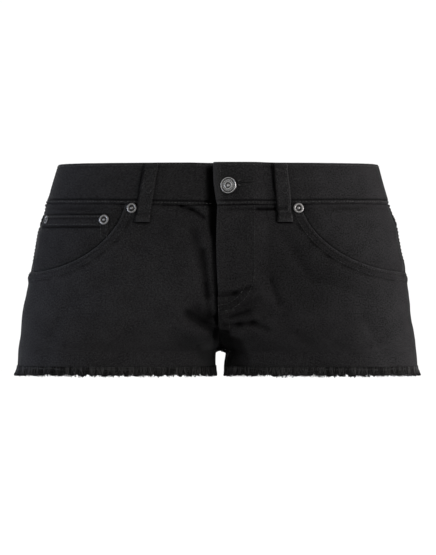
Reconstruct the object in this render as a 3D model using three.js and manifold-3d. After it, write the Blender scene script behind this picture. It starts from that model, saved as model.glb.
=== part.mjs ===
// Low-rise black denim shorts with a raw, frayed hem, hollow and filled out as if worn.
// Millimetres, +Z up, the front faces -Y and the wearer's left is +X.
// The origin is the middle of the waist opening, level with the waistband's upper edge, so every height
// below it is written as a drop, as on a sewing pattern.

import * as THREE from 'three';
import Module from 'manifold-3d';
import { mergeVertices } from 'three/addons/utils/BufferGeometryUtils.js';

const wasm = await Module();
wasm.setup();

// Driving sizes
const HEM_DROP = 193; // where the woven cloth ends and the fray begins
const FRAY_LENGTH = 8.5;
const WAISTBAND_HEIGHT = 34;
const CROTCH_DROP = 178;
const LEG_GAP = 5; // from the middle plane to each leg's inner face
const LEG_GAP_ROUNDING = 5; // height over which the crotch rounds into that gap
const SEAM_GAP = 0.3;
const CLOTH = 1.2;
const LAYER_GAP = 0.6; // between a panel and what lies behind it, since both are faceted
const WAISTBAND_THICKNESS = 2.4;
const WAISTBAND_LIFT = 0.8;

// The cloth's outer face at a number of drops: half its width, and how far it stands before and behind
// the side seams
const SECTIONS = [
  { drop: 0, halfWidth: 154.3, front: 97, back: 102 },
  { drop: 34, halfWidth: 164, front: 101, back: 109 },
  { drop: 60, halfWidth: 172.4, front: 104, back: 116 },
  { drop: 92, halfWidth: 179.3, front: 105, back: 122 },
  { drop: 116, halfWidth: 183.5, front: 104, back: 123 },
  { drop: 148, halfWidth: 188.5, front: 101, back: 119 },
  { drop: 178, halfWidth: 192, front: 96, back: 109 },
  { drop: 202, halfWidth: 193.6, front: 93, back: 101 },
];
const ROUNDNESS = 2.3; // exponent of the sections: 2 is an ellipse, more is squarer
const GRAIN = 1.9; // how fast the vertical grain turns in towards the inseam
const CLEFT_START = { front: 146, back: 126 }; // drop at which each rise seam starts to turn under

// Soft folds in the cloth, as lines on the front or back seen flat: x to the wearer's left, and drop
const FOLDS = [
  { isBack: false, x1: -34, drop1: 141, x2: -6, drop2: 160, width: 8, depth: -3 },
  { isBack: false, x1: -44, drop1: 153, x2: -12, drop2: 172, width: 8, depth: 2 },
  { isBack: false, x1: 12, drop1: 152, x2: 44, drop2: 148, width: 8, depth: -2.4 },
  { isBack: false, x1: 14, drop1: 166, x2: 50, drop2: 166, width: 8, depth: 1.6 },
  { isBack: true, x1: 14, drop1: 148, x2: 56, drop2: 162, width: 9, depth: -3 },
  { isBack: true, x1: -12, drop1: 144, x2: -50, drop2: 162, width: 9, depth: -3.2 },
  { isBack: true, x1: 20, drop1: 172, x2: 74, drop2: 176, width: 8, depth: -2 },
  { isBack: true, x1: -20, drop1: 170, x2: -64, drop2: 178, width: 8, depth: -1.8 },
];

// The front pocket mouth: a quarter curve from the waist seam down and out to the side seam
const MOUTH_START_X = { left: 80, right: 86 };
const MOUTH_END_DROP = 104;
const MOUTH_ROUNDNESS = 1.8;
const FACING_MARGIN = 14; // how far the facing reaches in behind the front's edge
const FACING_THICKNESS = 1.1;

// The fly
const FLY_WIDTH = 38;
const FLY_END_DROP = 132;
const FLY_LAP_LIFT = 1.5;
const FLY_UNDERLAP = 8; // how far the right front reaches in under the left one
const SHIELD_INNER_X = -22;
const SHIELD_OUTER_X = 34;

// The waistband's lap: the wearer's left end lies over the right end
const LAP_EDGE_X = -1.5;
const LAP_FLAT_X = 34;
const LAP_JOIN_X = 52;
const UNDERLAP_X = 30;
const LAP_LIFT = 2.8;

const YOKE_SIDE_DROP = 59;
const YOKE_CENTRE_DROP = 80;

const BACK_POCKET = {
  innerX: 27,
  outerX: 133,
  topDrop: 84,
  innerTopDrop: 90,
  sideDrop: 158,
  pointDrop: 174,
  taper: 5,
  thickness: 1.3,
};
const COIN_POCKET = { innerX: 103, outerX: 167, topDrop: 49.5, thickness: 1.05, edgeGap: 1.6 };

const LOOP_HALF_WIDTH = 6.4;
const LOOP_THICKNESS = 1.9;
const LOOP_TOP_DROP = 1.6;
const LOOP_BOTTOM_DROP = 54.5;
const LOOP_BOW = 1.3; // how far a loop stands off the waistband at its middle
// A front loop is placed by its middle line's x at both ends, a side or back one by its turn round the body
const LOOPS = [
  { name: 'belt_loop_front_left', topX: 61, bottomX: 65.5 },
  { name: 'belt_loop_front_right', topX: -59.5, bottomX: -68.5 },
  { name: 'belt_loop_side_left', turn: 1.3 },
  { name: 'belt_loop_side_right', turn: -1.3 },
  { name: 'belt_loop_back', turn: 2 },
];

const BUTTON_X = 12.3;
const BUTTON_DROP = 20.9;
const BUTTONHOLE_LENGTH = 22;
const BUTTONHOLE_HALF_WIDTH = 1.3;
const BUTTON_SHANK_RADIUS = 2.4;
const TACK_RADIUS = 1.2;
const RIVET_RADIUS = 4.75;
const RIVETS = [
  { name: 'rivet_pocket_left', x: 78.3, drop: 42.8, onFacing: false },
  { name: 'rivet_pocket_right', x: -79.8, drop: 42.8, onFacing: false },
  { name: 'rivet_coin_inner', x: -107.2, drop: 53.8, onFacing: true },
  { name: 'rivet_coin_outer', x: -162.6, drop: 54, onFacing: true },
];

// Heights of each layer's outer face over the body's skin
const LIFT = { front: 0, facing: -(CLOTH + LAYER_GAP), coin: -0.25, shield: -(CLOTH + LAYER_GAP) };

// Numbers of grid cells
const FRONT_COLUMNS = 20;
const BACK_COLUMNS = 16;
const CLEFT_ROWS = 5;
const LOCKS_PER_LEG = 70;

const DENIM = { color: 0x1d1d1f, roughness: 0.9, metalness: 0 };
const THREADS = { color: 0x242427, roughness: 1, metalness: 0 };
const DARK_NICKEL = { color: 0x8d8880, roughness: 0.35, metalness: 1 };
const BRIGHT_NICKEL = { color: 0xc9c6c0, roughness: 0.3, metalness: 1 };

const lerp = THREE.MathUtils.lerp;
const smooth = (value, from, to) => THREE.MathUtils.smoothstep(value, from, to);
const spread = (from, to, count) => Array.from({ length: count }, (_, i) => lerp(from, to, i / (count - 1)));

// The body's skin

/** The section at a drop, on a smooth curve through the rows of the table. */
function sectionAt(drop) {
  const last = SECTIONS.length - 1;
  const i = Math.max(0, Math.min(last - 1, SECTIONS.findLastIndex((row) => row.drop <= drop)));
  const rows = [SECTIONS[Math.max(0, i - 1)], SECTIONS[i], SECTIONS[i + 1], SECTIONS[Math.min(last, i + 2)]];
  const span = rows[2].drop - rows[1].drop;
  const t = (drop - rows[1].drop) / span;
  const value = (key) => {
    const startSlope = (rows[2][key] - rows[0][key]) / (rows[2].drop - rows[0].drop) * span;
    const endSlope = (rows[3][key] - rows[1][key]) / (rows[3].drop - rows[1].drop) * span;
    const a = 2 * (rows[1][key] - rows[2][key]) + startSlope + endSlope;
    const b = 3 * (rows[2][key] - rows[1][key]) - 2 * startSlope - endSlope;
    return ((a * t + b) * t + startSlope) * t + rows[1][key];
  };
  return { halfWidth: value('halfWidth'), front: value('front'), back: value('back') };
}

/** How far the body has parted into legs: 0 on the hips, 1 from the crotch down. */
function legShare(drop, isBack) {
  const start = isBack ? CLEFT_START.back : CLEFT_START.front;
  const sine = THREE.MathUtils.clamp((drop - start) / (CROTCH_DROP - start), 0, 1);
  const reach = Math.sqrt(1 - sine * sine);
  return (1 - reach ** ROUNDNESS) ** (1 / ROUNDNESS);
}

/** Distance from the middle plane to a leg's inner face, rounding in from the crotch. */
function legGap(drop) {
  const t = THREE.MathUtils.clamp((drop - CROTCH_DROP) / LEG_GAP_ROUNDING, 0, 1);
  return LEG_GAP * Math.sqrt(1 - (1 - t) ** 2);
}

/** A point on the smooth skin. share is 0 at the rise seam and inseam, and 1 at the side seam. */
function skinPoint(side, isBack, share, drop) {
  const { halfWidth, front, back } = sectionAt(drop);
  const split = legShare(drop, isBack);
  const radius = (halfWidth - legGap(drop)) / (1 + split);
  const startAngle = Math.acos(-(split ** (ROUNDNESS / 2)));
  const angle = (Math.PI / 2) * (1 - share) + (startAngle - Math.PI / 2) * (1 - share) ** GRAIN;
  const cosine = Math.cos(angle);
  const x = halfWidth - radius + radius * Math.sign(cosine) * Math.abs(cosine) ** (2 / ROUNDNESS);
  const depth = Math.max(0, Math.sin(angle)) ** (2 / ROUNDNESS) * (isBack ? back : -front);
  return new THREE.Vector3(side * x, depth, -drop);
}

/** The skin's outward normal, from points just beside the one asked for. */
function skinNormal(side, isBack, share, drop) {
  const shareStep = 0.004;
  const dropStep = 0.4;
  const across = skinPoint(side, isBack, Math.min(1, share + shareStep), drop)
    .sub(skinPoint(side, isBack, Math.max(0, share - shareStep), drop));
  const down = skinPoint(side, isBack, share, drop + dropStep)
    .sub(skinPoint(side, isBack, share, Math.max(0, drop - dropStep)));
  return down.cross(across).multiplyScalar(side * (isBack ? -1 : 1)).normalize();
}

/** Height of the folds over the smooth skin at a point of the flat front or back view. */
function foldHeight(isBack, x, drop) {
  let height = 0;
  for (const fold of FOLDS.filter((row) => row.isBack === isBack)) {
    const alongX = fold.x2 - fold.x1;
    const alongDrop = fold.drop2 - fold.drop1;
    const reach = ((x - fold.x1) * alongX + (drop - fold.drop1) * alongDrop) / (alongX ** 2 + alongDrop ** 2);
    const t = THREE.MathUtils.clamp(reach, 0, 1);
    const away = Math.hypot(x - fold.x1 - t * alongX, drop - fold.drop1 - t * alongDrop);
    height += fold.depth * Math.exp(-((away / fold.width) ** 2));
  }
  return height;
}

/** The share at which the skin stands at a given distance from the middle plane. */
function shareAtX(x, drop, isBack = false) {
  let low = 0;
  let high = 1;
  for (let step = 0; step < 30; step += 1) {
    const middle = (low + high) / 2;
    if (skinPoint(1, isBack, middle, drop).x < x) low = middle;
    else high = middle;
  }
  return (low + high) / 2;
}

/** The outer and inner point of a layer of cloth whose outer face stands lift over the skin. */
function layer(side, isBack, share, drop, lift, thickness) {
  const point = skinPoint(side, isBack, share, drop);
  const normal = skinNormal(side, isBack, share, drop);
  const height = lift + foldHeight(isBack, point.x, drop);
  return {
    outer: point.clone().addScaledVector(normal, height),
    inner: point.clone().addScaledVector(normal, height - thickness),
  };
}

/** The same for a turn round the body: 0 centre front, 1 left side, 2 centre back, 3 right side, 4 front. */
function layerAtTurn(turn, drop, lift, thickness) {
  const wrapped = THREE.MathUtils.euclideanModulo(turn + 2, 4) - 2;
  const side = wrapped < 0 ? -1 : 1;
  const around = Math.abs(wrapped);
  const isBack = around > 1;
  return layer(side, isBack, isBack ? 2 - around : around, drop, lift, thickness);
}

/** The same for a point of the flat front or back view. */
function layerAtX(x, isBack, drop, lift, thickness) {
  return layer(x < 0 ? -1 : 1, isBack, shareAtX(Math.abs(x), drop, isBack), drop, lift, thickness);
}

// Walls

/**
 * A closed solid from a grid of outer and inner points. place(column, row) gives each pair.
 * Both faces of a cell are split along the same diagonal, the shorter one, so the cloth stays equally thick.
 */
function wall(columns, rows, place, closedRound = false) {
  const ring = closedRound ? columns : columns + 1;
  const pairs = Array.from({ length: (rows + 1) * ring }, (_, i) => place(i % ring, Math.floor(i / ring)));
  const positions = ['outer', 'inner'].flatMap((face) => pairs.flatMap((pair) => pair[face].toArray()));
  const index = (face, column, row) => face * pairs.length + row * ring + (column % ring);
  const span = (i, j) => pairs[i].outer.distanceTo(pairs[j].outer);
  const triangles = [];
  const quad = (a, b, c, d) => triangles.push(a, b, c, a, c, d);
  for (let row = 0; row < rows; row += 1) {
    for (let column = 0; column < columns; column += 1) {
      const cell = [
        index(0, column, row), index(0, column, row + 1),
        index(0, column + 1, row + 1), index(0, column + 1, row),
      ];
      if (span(cell[0], cell[2]) > span(cell[1], cell[3])) cell.push(cell.shift());
      const [a, b, c, d] = cell;
      quad(a, b, c, d);
      quad(...[a, d, c, b].map((i) => i + pairs.length));
    }
    if (!closedRound) {
      const end = (face, nextRow) => index(face, columns, row + nextRow);
      quad(index(0, 0, row), index(1, 0, row), index(1, 0, row + 1), index(0, 0, row + 1));
      quad(end(0, 0), end(0, 1), end(1, 1), end(1, 0));
    }
  }
  for (let column = 0; column < columns; column += 1) {
    const foot = (face, nextColumn) => index(face, column + nextColumn, rows);
    quad(index(0, column, 0), index(0, column + 1, 0), index(1, column + 1, 0), index(1, column, 0));
    quad(foot(0, 0), foot(1, 0), foot(1, 1), foot(0, 1));
  }
  const geometry = new THREE.BufferGeometry();
  geometry.setAttribute('position', new THREE.Float32BufferAttribute(positions, 3));
  geometry.setIndex(triangles);
  return facingOut(geometry);
}

/** Turns every triangle over if the solid's signed volume is negative. */
function facingOut(geometry) {
  const { position } = geometry.attributes;
  const at = (i) => new THREE.Vector3().fromBufferAttribute(position, geometry.index.getX(i));
  let volume = 0;
  for (let i = 0; i < geometry.index.count; i += 3) volume += at(i).dot(at(i + 1).cross(at(i + 2)));
  if (volume < 0) geometry.setIndex(Array.from(geometry.index.array).reverse());
  return geometry;
}

/** Keeps half a seam gap from the middle plane and, at the side seam and inseam, from the other half. */
function keepSeamGaps(pair, side, isBack, reachPastMiddle = -SEAM_GAP / 2) {
  for (const point of [pair.outer, pair.inner]) {
    point.x = side * Math.max(side * point.x, -reachPastMiddle);
    point.y = isBack ? Math.max(point.y, SEAM_GAP / 2) : Math.min(point.y, -SEAM_GAP / 2);
  }
  return pair;
}

// Joining and cutting

function toSolid(geometry) {
  const bare = geometry.clone();
  bare.deleteAttribute('normal');
  bare.deleteAttribute('uv');
  const merged = mergeVertices(bare, 1e-4);
  return new wasm.Manifold(new wasm.Mesh({
    numProp: 3,
    vertProperties: new Float32Array(merged.attributes.position.array),
    triVerts: new Uint32Array(merged.index.array),
  }));
}

function toGeometry(solid) {
  const mesh = solid.getMesh();
  const geometry = new THREE.BufferGeometry();
  geometry.setAttribute('position', new THREE.BufferAttribute(mesh.vertProperties, 3));
  geometry.setIndex(new THREE.BufferAttribute(mesh.triVerts, 1));
  return geometry;
}

const cut = (geometry, cutters) => toGeometry(
  cutters.reduce((solid, cutter) => solid.subtract(toSolid(cutter)), toSolid(geometry)),
);

/** The part of a sheet inside an outline of [x, drop] points on the flat front or back view. */
function cutOut(geometry, outline, isBack) {
  const depth = 140;
  const shape = new THREE.Shape(outline.map(([x, drop]) => new THREE.Vector2(x, -drop)));
  const prism = new THREE.ExtrudeGeometry(shape, { depth, bevelEnabled: false });
  prism.rotateX(Math.PI / 2).translate(0, isBack ? depth : 0, 0);
  return toGeometry(toSolid(geometry).intersect(toSolid(prism)));
}

// Hardware places: where each button or rivet stands on the cloth, and which way its axis points

function standOn(x, drop) {
  const side = x < 0 ? -1 : 1;
  const share = shareAtX(Math.abs(x), drop);
  const normal = skinNormal(side, false, share, drop);
  const position = layer(side, false, share, drop, 0, 0).outer;
  const turn = new THREE.Quaternion().setFromUnitVectors(new THREE.Vector3(0, 1, 0), normal);
  return { position, normal, turn };
}

/** A round hole through the cloth for a rivet's or tack's post. */
function postHole(x, drop, radius) {
  const depth = 20;
  const sides = 12;
  const { position, turn } = standOn(x, drop);
  return new THREE.CylinderGeometry(radius, radius, depth, sides).applyQuaternion(turn)
    .translate(position.x, position.y, position.z);
}

const rivetHoles = (onFacing, side) => RIVETS
  .filter((rivet) => rivet.onFacing === onFacing && Math.sign(rivet.x) === side)
  .map((rivet) => postHole(rivet.x, rivet.drop, TACK_RADIUS + SEAM_GAP));

/** The keyhole of the buttonhole: a round eye round the shank, and a slot towards the side. */
function buttonhole() {
  const eye = BUTTON_SHANK_RADIUS + 2 * SEAM_GAP;
  const eyeSpan = Math.asin(BUTTONHOLE_HALF_WIDTH / eye);
  const shape = new THREE.Shape();
  shape.absarc(0, 0, eye, eyeSpan, 2 * Math.PI - eyeSpan, false);
  shape.absarc(BUTTONHOLE_LENGTH, 0, BUTTONHOLE_HALF_WIDTH, -Math.PI / 2, Math.PI / 2, false);
  const above = WAISTBAND_LIFT + LAP_LIFT + 2;
  const depth = WAISTBAND_THICKNESS + 2.2; // through the upper end, and not into the lower one
  const geometry = new THREE.ExtrudeGeometry(shape, { depth, bevelEnabled: false, curveSegments: 6 });
  const { position, normal } = standOn(BUTTON_X, BUTTON_DROP);
  const across = new THREE.Vector3(0, 0, 1).cross(normal).normalize();
  const up = normal.clone().cross(across);
  const basis = new THREE.Matrix4().makeBasis(across, up, normal);
  const start = position.clone().addScaledVector(normal, above - depth);
  return geometry.applyMatrix4(basis.setPosition(start));
}

// Front panels

const mouthStartX = (side) => (side > 0 ? MOUTH_START_X.left : MOUTH_START_X.right);

/**
 * A point of the pocket mouth's edge, 0 at the waist seam and 1 at the side seam, spaced evenly round the
 * body. grow moves the edge in towards the fly and down.
 */
function mouthEdge(side, t, grow = 0) {
  const evenness = 2.2;
  const startX = mouthStartX(side);
  const angle = (Math.PI / 2) * (1 - (1 - t) ** evenness);
  const power = 2 / MOUTH_ROUNDNESS;
  const endX = sectionAt(MOUTH_END_DROP).halfWidth;
  const x = endX - (endX - startX + grow) * Math.cos(angle) ** power;
  const drop = WAISTBAND_HEIGHT + (MOUTH_END_DROP - WAISTBAND_HEIGHT + grow) * Math.sin(angle) ** power;
  return { share: t < 1 ? shareAtX(x, drop) : 1, drop };
}

/** Drops of a panel's rows along its rise seam and inseam, close together where the cleft turns under. */
function centreDrops(topDrop, cleftStart, upperRows) {
  const turning = spread(0, Math.PI / 2, CLEFT_ROWS + 1)
    .map((angle) => cleftStart + (CROTCH_DROP - cleftStart) * Math.sin(angle));
  const inseam = [CROTCH_DROP + 1.2, CROTCH_DROP + LEG_GAP_ROUNDING, HEM_DROP];
  return [...spread(topDrop, cleftStart, upperRows + 1), ...turning.slice(1), ...inseam];
}

function frontPanel(side) {
  const isLeft = side > 0;
  const topDrop = WAISTBAND_HEIGHT + SEAM_GAP / 2;
  const centre = centreDrops(topDrop, CLEFT_START.front, 10);
  const rows = centre.length - 1;
  const mouthRows = 9;
  const columnSpread = 1.1;
  const outerEdge = centre.map((_, row) => {
    const belowMouth = (row - mouthRows) / (rows - mouthRows);
    if (belowMouth > 0) return { share: 1, drop: lerp(MOUTH_END_DROP, HEM_DROP, belowMouth) };
    const edge = mouthEdge(side, row / mouthRows);
    return { share: edge.share, drop: Math.max(edge.drop, topDrop) };
  });
  const place = (column, row) => {
    const across = (column / FRONT_COLUMNS) ** columnSpread;
    const drop = lerp(centre[row], outerEdge[row].drop, across);
    if (isLeft) {
      const share = outerEdge[row].share * across;
      const x = skinPoint(1, false, share, drop).x;
      const lap = FLY_LAP_LIFT * (1 - smooth(x, FLY_WIDTH, FLY_WIDTH + 18))
        * (1 - smooth(drop, FLY_END_DROP, CLEFT_START.front + 4));
      return keepSeamGaps(layer(1, false, share, drop, LIFT.front + lap, CLOTH), 1, false);
    }
    const underlap = FLY_UNDERLAP * (1 - smooth(drop, FLY_END_DROP - 16, FLY_END_DROP - 4));
    const underlapShare = underlap > 0 ? shareAtX(underlap, drop) : 0;
    const share = lerp(-underlapShare, outerEdge[row].share, across);
    const pair = layer(share < 0 ? 1 : -1, false, Math.abs(share), drop, LIFT.front, CLOTH);
    return keepSeamGaps(pair, -1, false, underlap - SEAM_GAP / 2);
  };
  return cut(wall(FRONT_COLUMNS, rows, place), rivetHoles(false, side));
}

/** The strip behind the fly opening, under both fronts. */
function flyShield() {
  const columns = 6;
  const rows = 8;
  const place = (column, row) => {
    const drop = lerp(WAISTBAND_HEIGHT + SEAM_GAP, FLY_END_DROP, row / rows);
    const narrowing = 10 * smooth(drop, FLY_END_DROP - 25, FLY_END_DROP);
    const x = lerp(SHIELD_INNER_X + narrowing / 2, SHIELD_OUTER_X - narrowing, column / columns);
    return layerAtX(x, false, drop, LIFT.shield, CLOTH);
  };
  return wall(columns, rows, place);
}

/** A sheet behind a pocket mouth, from the waist seam to a margin past the front's edge. */
function facingSheet(side, lift, thickness) {
  const columns = 15;
  const rows = 7;
  return wall(columns, rows, (column, row) => {
    const { share, drop: edgeDrop } = mouthEdge(side, column / columns, FACING_MARGIN);
    const bottomDrop = Math.max(edgeDrop, WAISTBAND_HEIGHT + FACING_MARGIN);
    const drop = lerp(WAISTBAND_HEIGHT + SEAM_GAP / 2, bottomDrop, row / rows);
    return keepSeamGaps(layer(side, false, share, drop, lift, thickness), side, false);
  });
}

const pocketFacing = (side) => cut(
  facingSheet(side, LIFT.facing, FACING_THICKNESS),
  [...rivetHoles(false, side), ...rivetHoles(true, side)],
);

/** The small pocket on the right facing, which ends where the front's edge covers it. */
function coinPocket() {
  const { innerX, outerX, topDrop, thickness, edgeGap } = COIN_POCKET;
  const endX = sectionAt(MOUTH_END_DROP).halfWidth;
  const mouthDrop = (x) => {
    const reach = (endX - x) / (endX - mouthStartX(-1));
    const fall = (1 - reach ** MOUTH_ROUNDNESS) ** (1 / MOUTH_ROUNDNESS);
    return WAISTBAND_HEIGHT + (MOUTH_END_DROP - WAISTBAND_HEIGHT) * fall - edgeGap;
  };
  const lowerEdge = spread(innerX, outerX, 9).map((x) => [-x, mouthDrop(x)]);
  const outline = [[-innerX, topDrop], ...lowerEdge, [-outerX, topDrop]];
  return cut(cutOut(facingSheet(-1, LIFT.coin, thickness), outline, false), rivetHoles(true, -1));
}

// Back panels

const yokeSeamDrop = (share) => lerp(YOKE_CENTRE_DROP, YOKE_SIDE_DROP, share);

function yoke(side) {
  const columns = 12;
  const rows = 3;
  const place = (column, row) => {
    const share = column / columns;
    const bottom = yokeSeamDrop(share) - SEAM_GAP / 2;
    const drop = lerp(WAISTBAND_HEIGHT + SEAM_GAP / 2, bottom, row / rows);
    return keepSeamGaps(layer(side, true, share, drop, 0, CLOTH), side, true);
  };
  return wall(columns, rows, place);
}

/** A sheet over the whole back panel below the yoke. */
function backSheet(side, lift, thickness) {
  const centre = centreDrops(YOKE_CENTRE_DROP + SEAM_GAP / 2, CLEFT_START.back, 5);
  const rows = centre.length - 1;
  const columnSpread = 1.1;
  const sideTop = YOKE_SIDE_DROP + SEAM_GAP / 2;
  return wall(BACK_COLUMNS, rows, (column, row) => {
    const share = (column / BACK_COLUMNS) ** columnSpread;
    const drop = lerp(centre[row], lerp(sideTop, HEM_DROP, row / rows), share);
    return keepSeamGaps(layer(side, true, share, drop, lift, thickness), side, true);
  });
}

/** A patch pocket with a pointed lower edge, laid on the back panel. */
function backPocket(side) {
  const { innerX, outerX, topDrop, innerTopDrop, sideDrop, pointDrop, taper, thickness } = BACK_POCKET;
  const outline = [
    [innerX, innerTopDrop], [innerX + taper, sideDrop], [(innerX + outerX) / 2, pointDrop],
    [outerX - taper, sideDrop], [outerX, topDrop],
  ].map(([x, drop]) => [side * x, drop]);
  return cutOut(backSheet(side, SEAM_GAP + thickness, thickness), outline, true);
}

// Waistband and belt loops

/** One strip round the waist. Its left end laps over its right end at the centre front. */
function waistband() {
  const shareOf = (x) => shareAtX(Math.abs(x), WAISTBAND_HEIGHT / 2) * Math.sign(x);
  const lapStops = [LAP_EDGE_X, 3, 9, 15, 21, 27, LAP_FLAT_X, 38, 42, 47, LAP_JOIN_X].map(shareOf);
  const roundStops = spread(lapStops.at(-1), 4 - lapStops.at(-1), 48).slice(1);
  const underStops = [-38, -24, -10, 4, 18, UNDERLAP_X].map((x) => 4 + shareOf(x));
  const stops = [...lapStops, ...roundStops, ...underStops];
  const rows = 2;
  const place = (column, row) => {
    const turn = stops[column];
    const lap = turn < 1 ? LAP_LIFT * (1 - smooth(turn, shareOf(LAP_FLAT_X), shareOf(LAP_JOIN_X))) : 0;
    const drop = (WAISTBAND_HEIGHT - SEAM_GAP / 2) * (row / rows);
    return layerAtTurn(turn, drop, WAISTBAND_LIFT + lap, WAISTBAND_THICKNESS);
  };
  const tackHole = postHole(BUTTON_X, BUTTON_DROP, TACK_RADIUS + SEAM_GAP);
  return cut(wall(stops.length - 1, rows, place), [buttonhole(), tackHole]);
}

/** Millimetres round the body for each unit of turn, close to a given turn. */
function girthPerTurn(turn, drop) {
  const step = 0.03;
  const at = (side) => layerAtTurn(turn + side * step, drop, 0, 0).outer;
  return at(1).distanceTo(at(-1)) / (2 * step);
}

/** A belt loop: sewn flat at both ends, bowed out between them, with its ends folded under and so thicker. */
function beltLoop({ topX, bottomX, turn }) {
  const columns = 2;
  const rows = 9;
  const foldedEnd = 0.13; // share of the length that is doubled
  const place = (column, row) => {
    const down = row / rows;
    const drop = lerp(LOOP_TOP_DROP, LOOP_BOTTOM_DROP, down);
    const across = LOOP_HALF_WIDTH * (2 * column / columns - 1);
    const onWaistband = 1 - smooth(drop, WAISTBAND_HEIGHT, WAISTBAND_HEIGHT + 5);
    const seat = (WAISTBAND_LIFT + SEAM_GAP) * onWaistband + SEAM_GAP / 2;
    const folded = 0.7 * (1 - smooth(Math.min(down, 1 - down), foldedEnd * 0.8, foldedEnd * 1.3));
    const lift = seat + LOOP_BOW * Math.sin(Math.PI * down) + folded + LOOP_THICKNESS;
    const thickness = LOOP_THICKNESS + folded;
    if (turn === undefined) return layerAtX(lerp(topX, bottomX, down) + across, false, drop, lift, thickness);
    return layerAtTurn(turn + across / girthPerTurn(turn, drop), drop, lift, thickness);
  };
  return wall(columns, rows, place);
}

// Hem fray

/** A number between 0 and 1 that looks random and is the same each time. */
function scatter(seed) {
  const value = Math.sin(seed * 12.9898) * 43758.5453;
  return value - Math.floor(value);
}

/** Round one leg: 0 and 4 are the inseam, 1 the front's middle, 2 the side seam and 3 the back's middle. */
function layerAroundLeg(side, around, drop, lift, thickness) {
  const isBack = around > 2;
  const share = isBack ? (4 - around) / 2 : around / 2;
  return layer(side, isBack, share, drop, lift, thickness);
}

/** One lock of threads: a three-sided taper from inside the strip to its tip. */
function fringeLock(side, around, seed) {
  const halfWidth = 1.5 + 0.9 * scatter(seed);
  const tipShare = 0.35 + 0.3 * scatter(seed + 0.19);
  const rootDrop = HEM_DROP + LAYER_GAP + 1;
  const tipDrop = HEM_DROP + FRAY_LENGTH * (0.6 + 0.4 * scatter(seed + 0.37));
  const sway = 4 * (scatter(seed + 0.71) - 0.5);
  const flare = 1.2 * scatter(seed + 0.53);
  const depth = 0.8;
  const root = layerAroundLeg(side, around, rootDrop, -0.2, depth);
  const tip = layerAroundLeg(side, around, tipDrop, flare, depth * 0.7);
  const beside = (step) => {
    const place = THREE.MathUtils.clamp(around + step, 0.01, 3.99);
    return layerAroundLeg(side, place, rootDrop, 0, 0).outer;
  };
  const along = beside(0.02).sub(beside(-0.02)).normalize();
  const corners = [
    root.outer.clone().addScaledVector(along, -halfWidth),
    root.outer.clone().addScaledVector(along, halfWidth),
    root.inner,
    tip.outer.clone().addScaledVector(along, sway - halfWidth * tipShare),
    tip.outer.clone().addScaledVector(along, sway + halfWidth * tipShare),
    tip.inner.addScaledVector(along, sway),
  ];
  const geometry = new THREE.BufferGeometry();
  geometry.setAttribute('position', new THREE.Float32BufferAttribute(corners.flatMap((p) => p.toArray()), 3));
  geometry.setIndex([0, 2, 1, 3, 4, 5, 0, 1, 4, 0, 4, 3, 1, 2, 5, 1, 5, 4, 2, 0, 3, 2, 3, 5]);
  return facingOut(geometry);
}

/** The frayed edge of one leg: a narrow strip below the cloth's edge, and the locks that hang from it. */
function hemFray(side) {
  const columns = 40;
  const strip = wall(columns, 1, (column, row) => {
    const around = 4 * column / columns;
    return layerAroundLeg(side, around, HEM_DROP + LAYER_GAP + 2 * row, 0, CLOTH);
  }, true);
  const locks = Array.from({ length: LOCKS_PER_LEG }, (_, i) => {
    const seed = i + (side > 0 ? 0 : 500);
    return fringeLock(side, 4 * (i + 0.3 + 0.4 * scatter(seed + 0.83)) / LOCKS_PER_LEG, seed);
  });
  return toGeometry(locks.reduce((solid, lock) => solid.add(toSolid(lock)), toSolid(strip)));
}

// Button and rivets, turned round their own axis, with height 0 on the skin

const lathe = (profile, sides) => new THREE.LatheGeometry(
  profile.map(([radius, height]) => new THREE.Vector2(radius, height)),
  sides,
);

function buttonGeometry() {
  const seat = WAISTBAND_LIFT + LAP_LIFT + SEAM_GAP;
  const lowerEnd = WAISTBAND_LIFT + SEAM_GAP;
  const inside = WAISTBAND_LIFT - WAISTBAND_THICKNESS - SEAM_GAP;
  return lathe([
    [0, inside - 0.9], [3.6, inside - 0.9], [4, inside], [TACK_RADIUS, inside], [TACK_RADIUS, lowerEnd],
    [BUTTON_SHANK_RADIUS, lowerEnd], [BUTTON_SHANK_RADIUS, seat], [7.6, seat], [8.5, seat + 0.9],
    [8.2, seat + 2], [7, seat + 2.7], [6.4, seat + 2.3], [3, seat + 2.1], [2.2, seat + 2.6], [0, seat + 2.8],
  ], 20);
}

function rivetGeometry(clothTop) {
  const seat = clothTop + LAYER_GAP;
  const inside = LIFT.facing - FACING_THICKNESS - LAYER_GAP;
  return lathe([
    [0, inside - 0.7], [2.9, inside - 0.7], [3.2, inside], [TACK_RADIUS, inside], [TACK_RADIUS, seat],
    [RIVET_RADIUS - 0.3, seat], [RIVET_RADIUS, seat + 0.4], [3.6, seat + 1.3], [2.2, seat + 0.9],
    [1.4, seat + 0.6], [0.9, seat + 1.2], [0, seat + 1.4],
  ], 11);
}

// The garment

const garment = new THREE.Group();

function sew(name, geometry, look) {
  const mesh = new THREE.Mesh(geometry, new THREE.MeshStandardMaterial(look));
  mesh.name = name;
  garment.add(mesh);
  return mesh;
}

sew('waistband', waistband(), DENIM);
for (const [name, side] of [['left', 1], ['right', -1]]) {
  sew(`front_${name}`, frontPanel(side), DENIM);
  sew(`pocket_facing_${name}`, pocketFacing(side), DENIM);
  sew(`yoke_${name}`, yoke(side), DENIM);
  sew(`back_${name}`, backSheet(side, 0, CLOTH), DENIM);
  sew(`back_pocket_${name}`, backPocket(side), DENIM);
  sew(`hem_fray_${name}`, hemFray(side), THREADS);
}
sew('fly_shield', flyShield(), DENIM);
sew('coin_pocket', coinPocket(), DENIM);
for (const loop of LOOPS) sew(loop.name, beltLoop(loop), DENIM);

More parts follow.
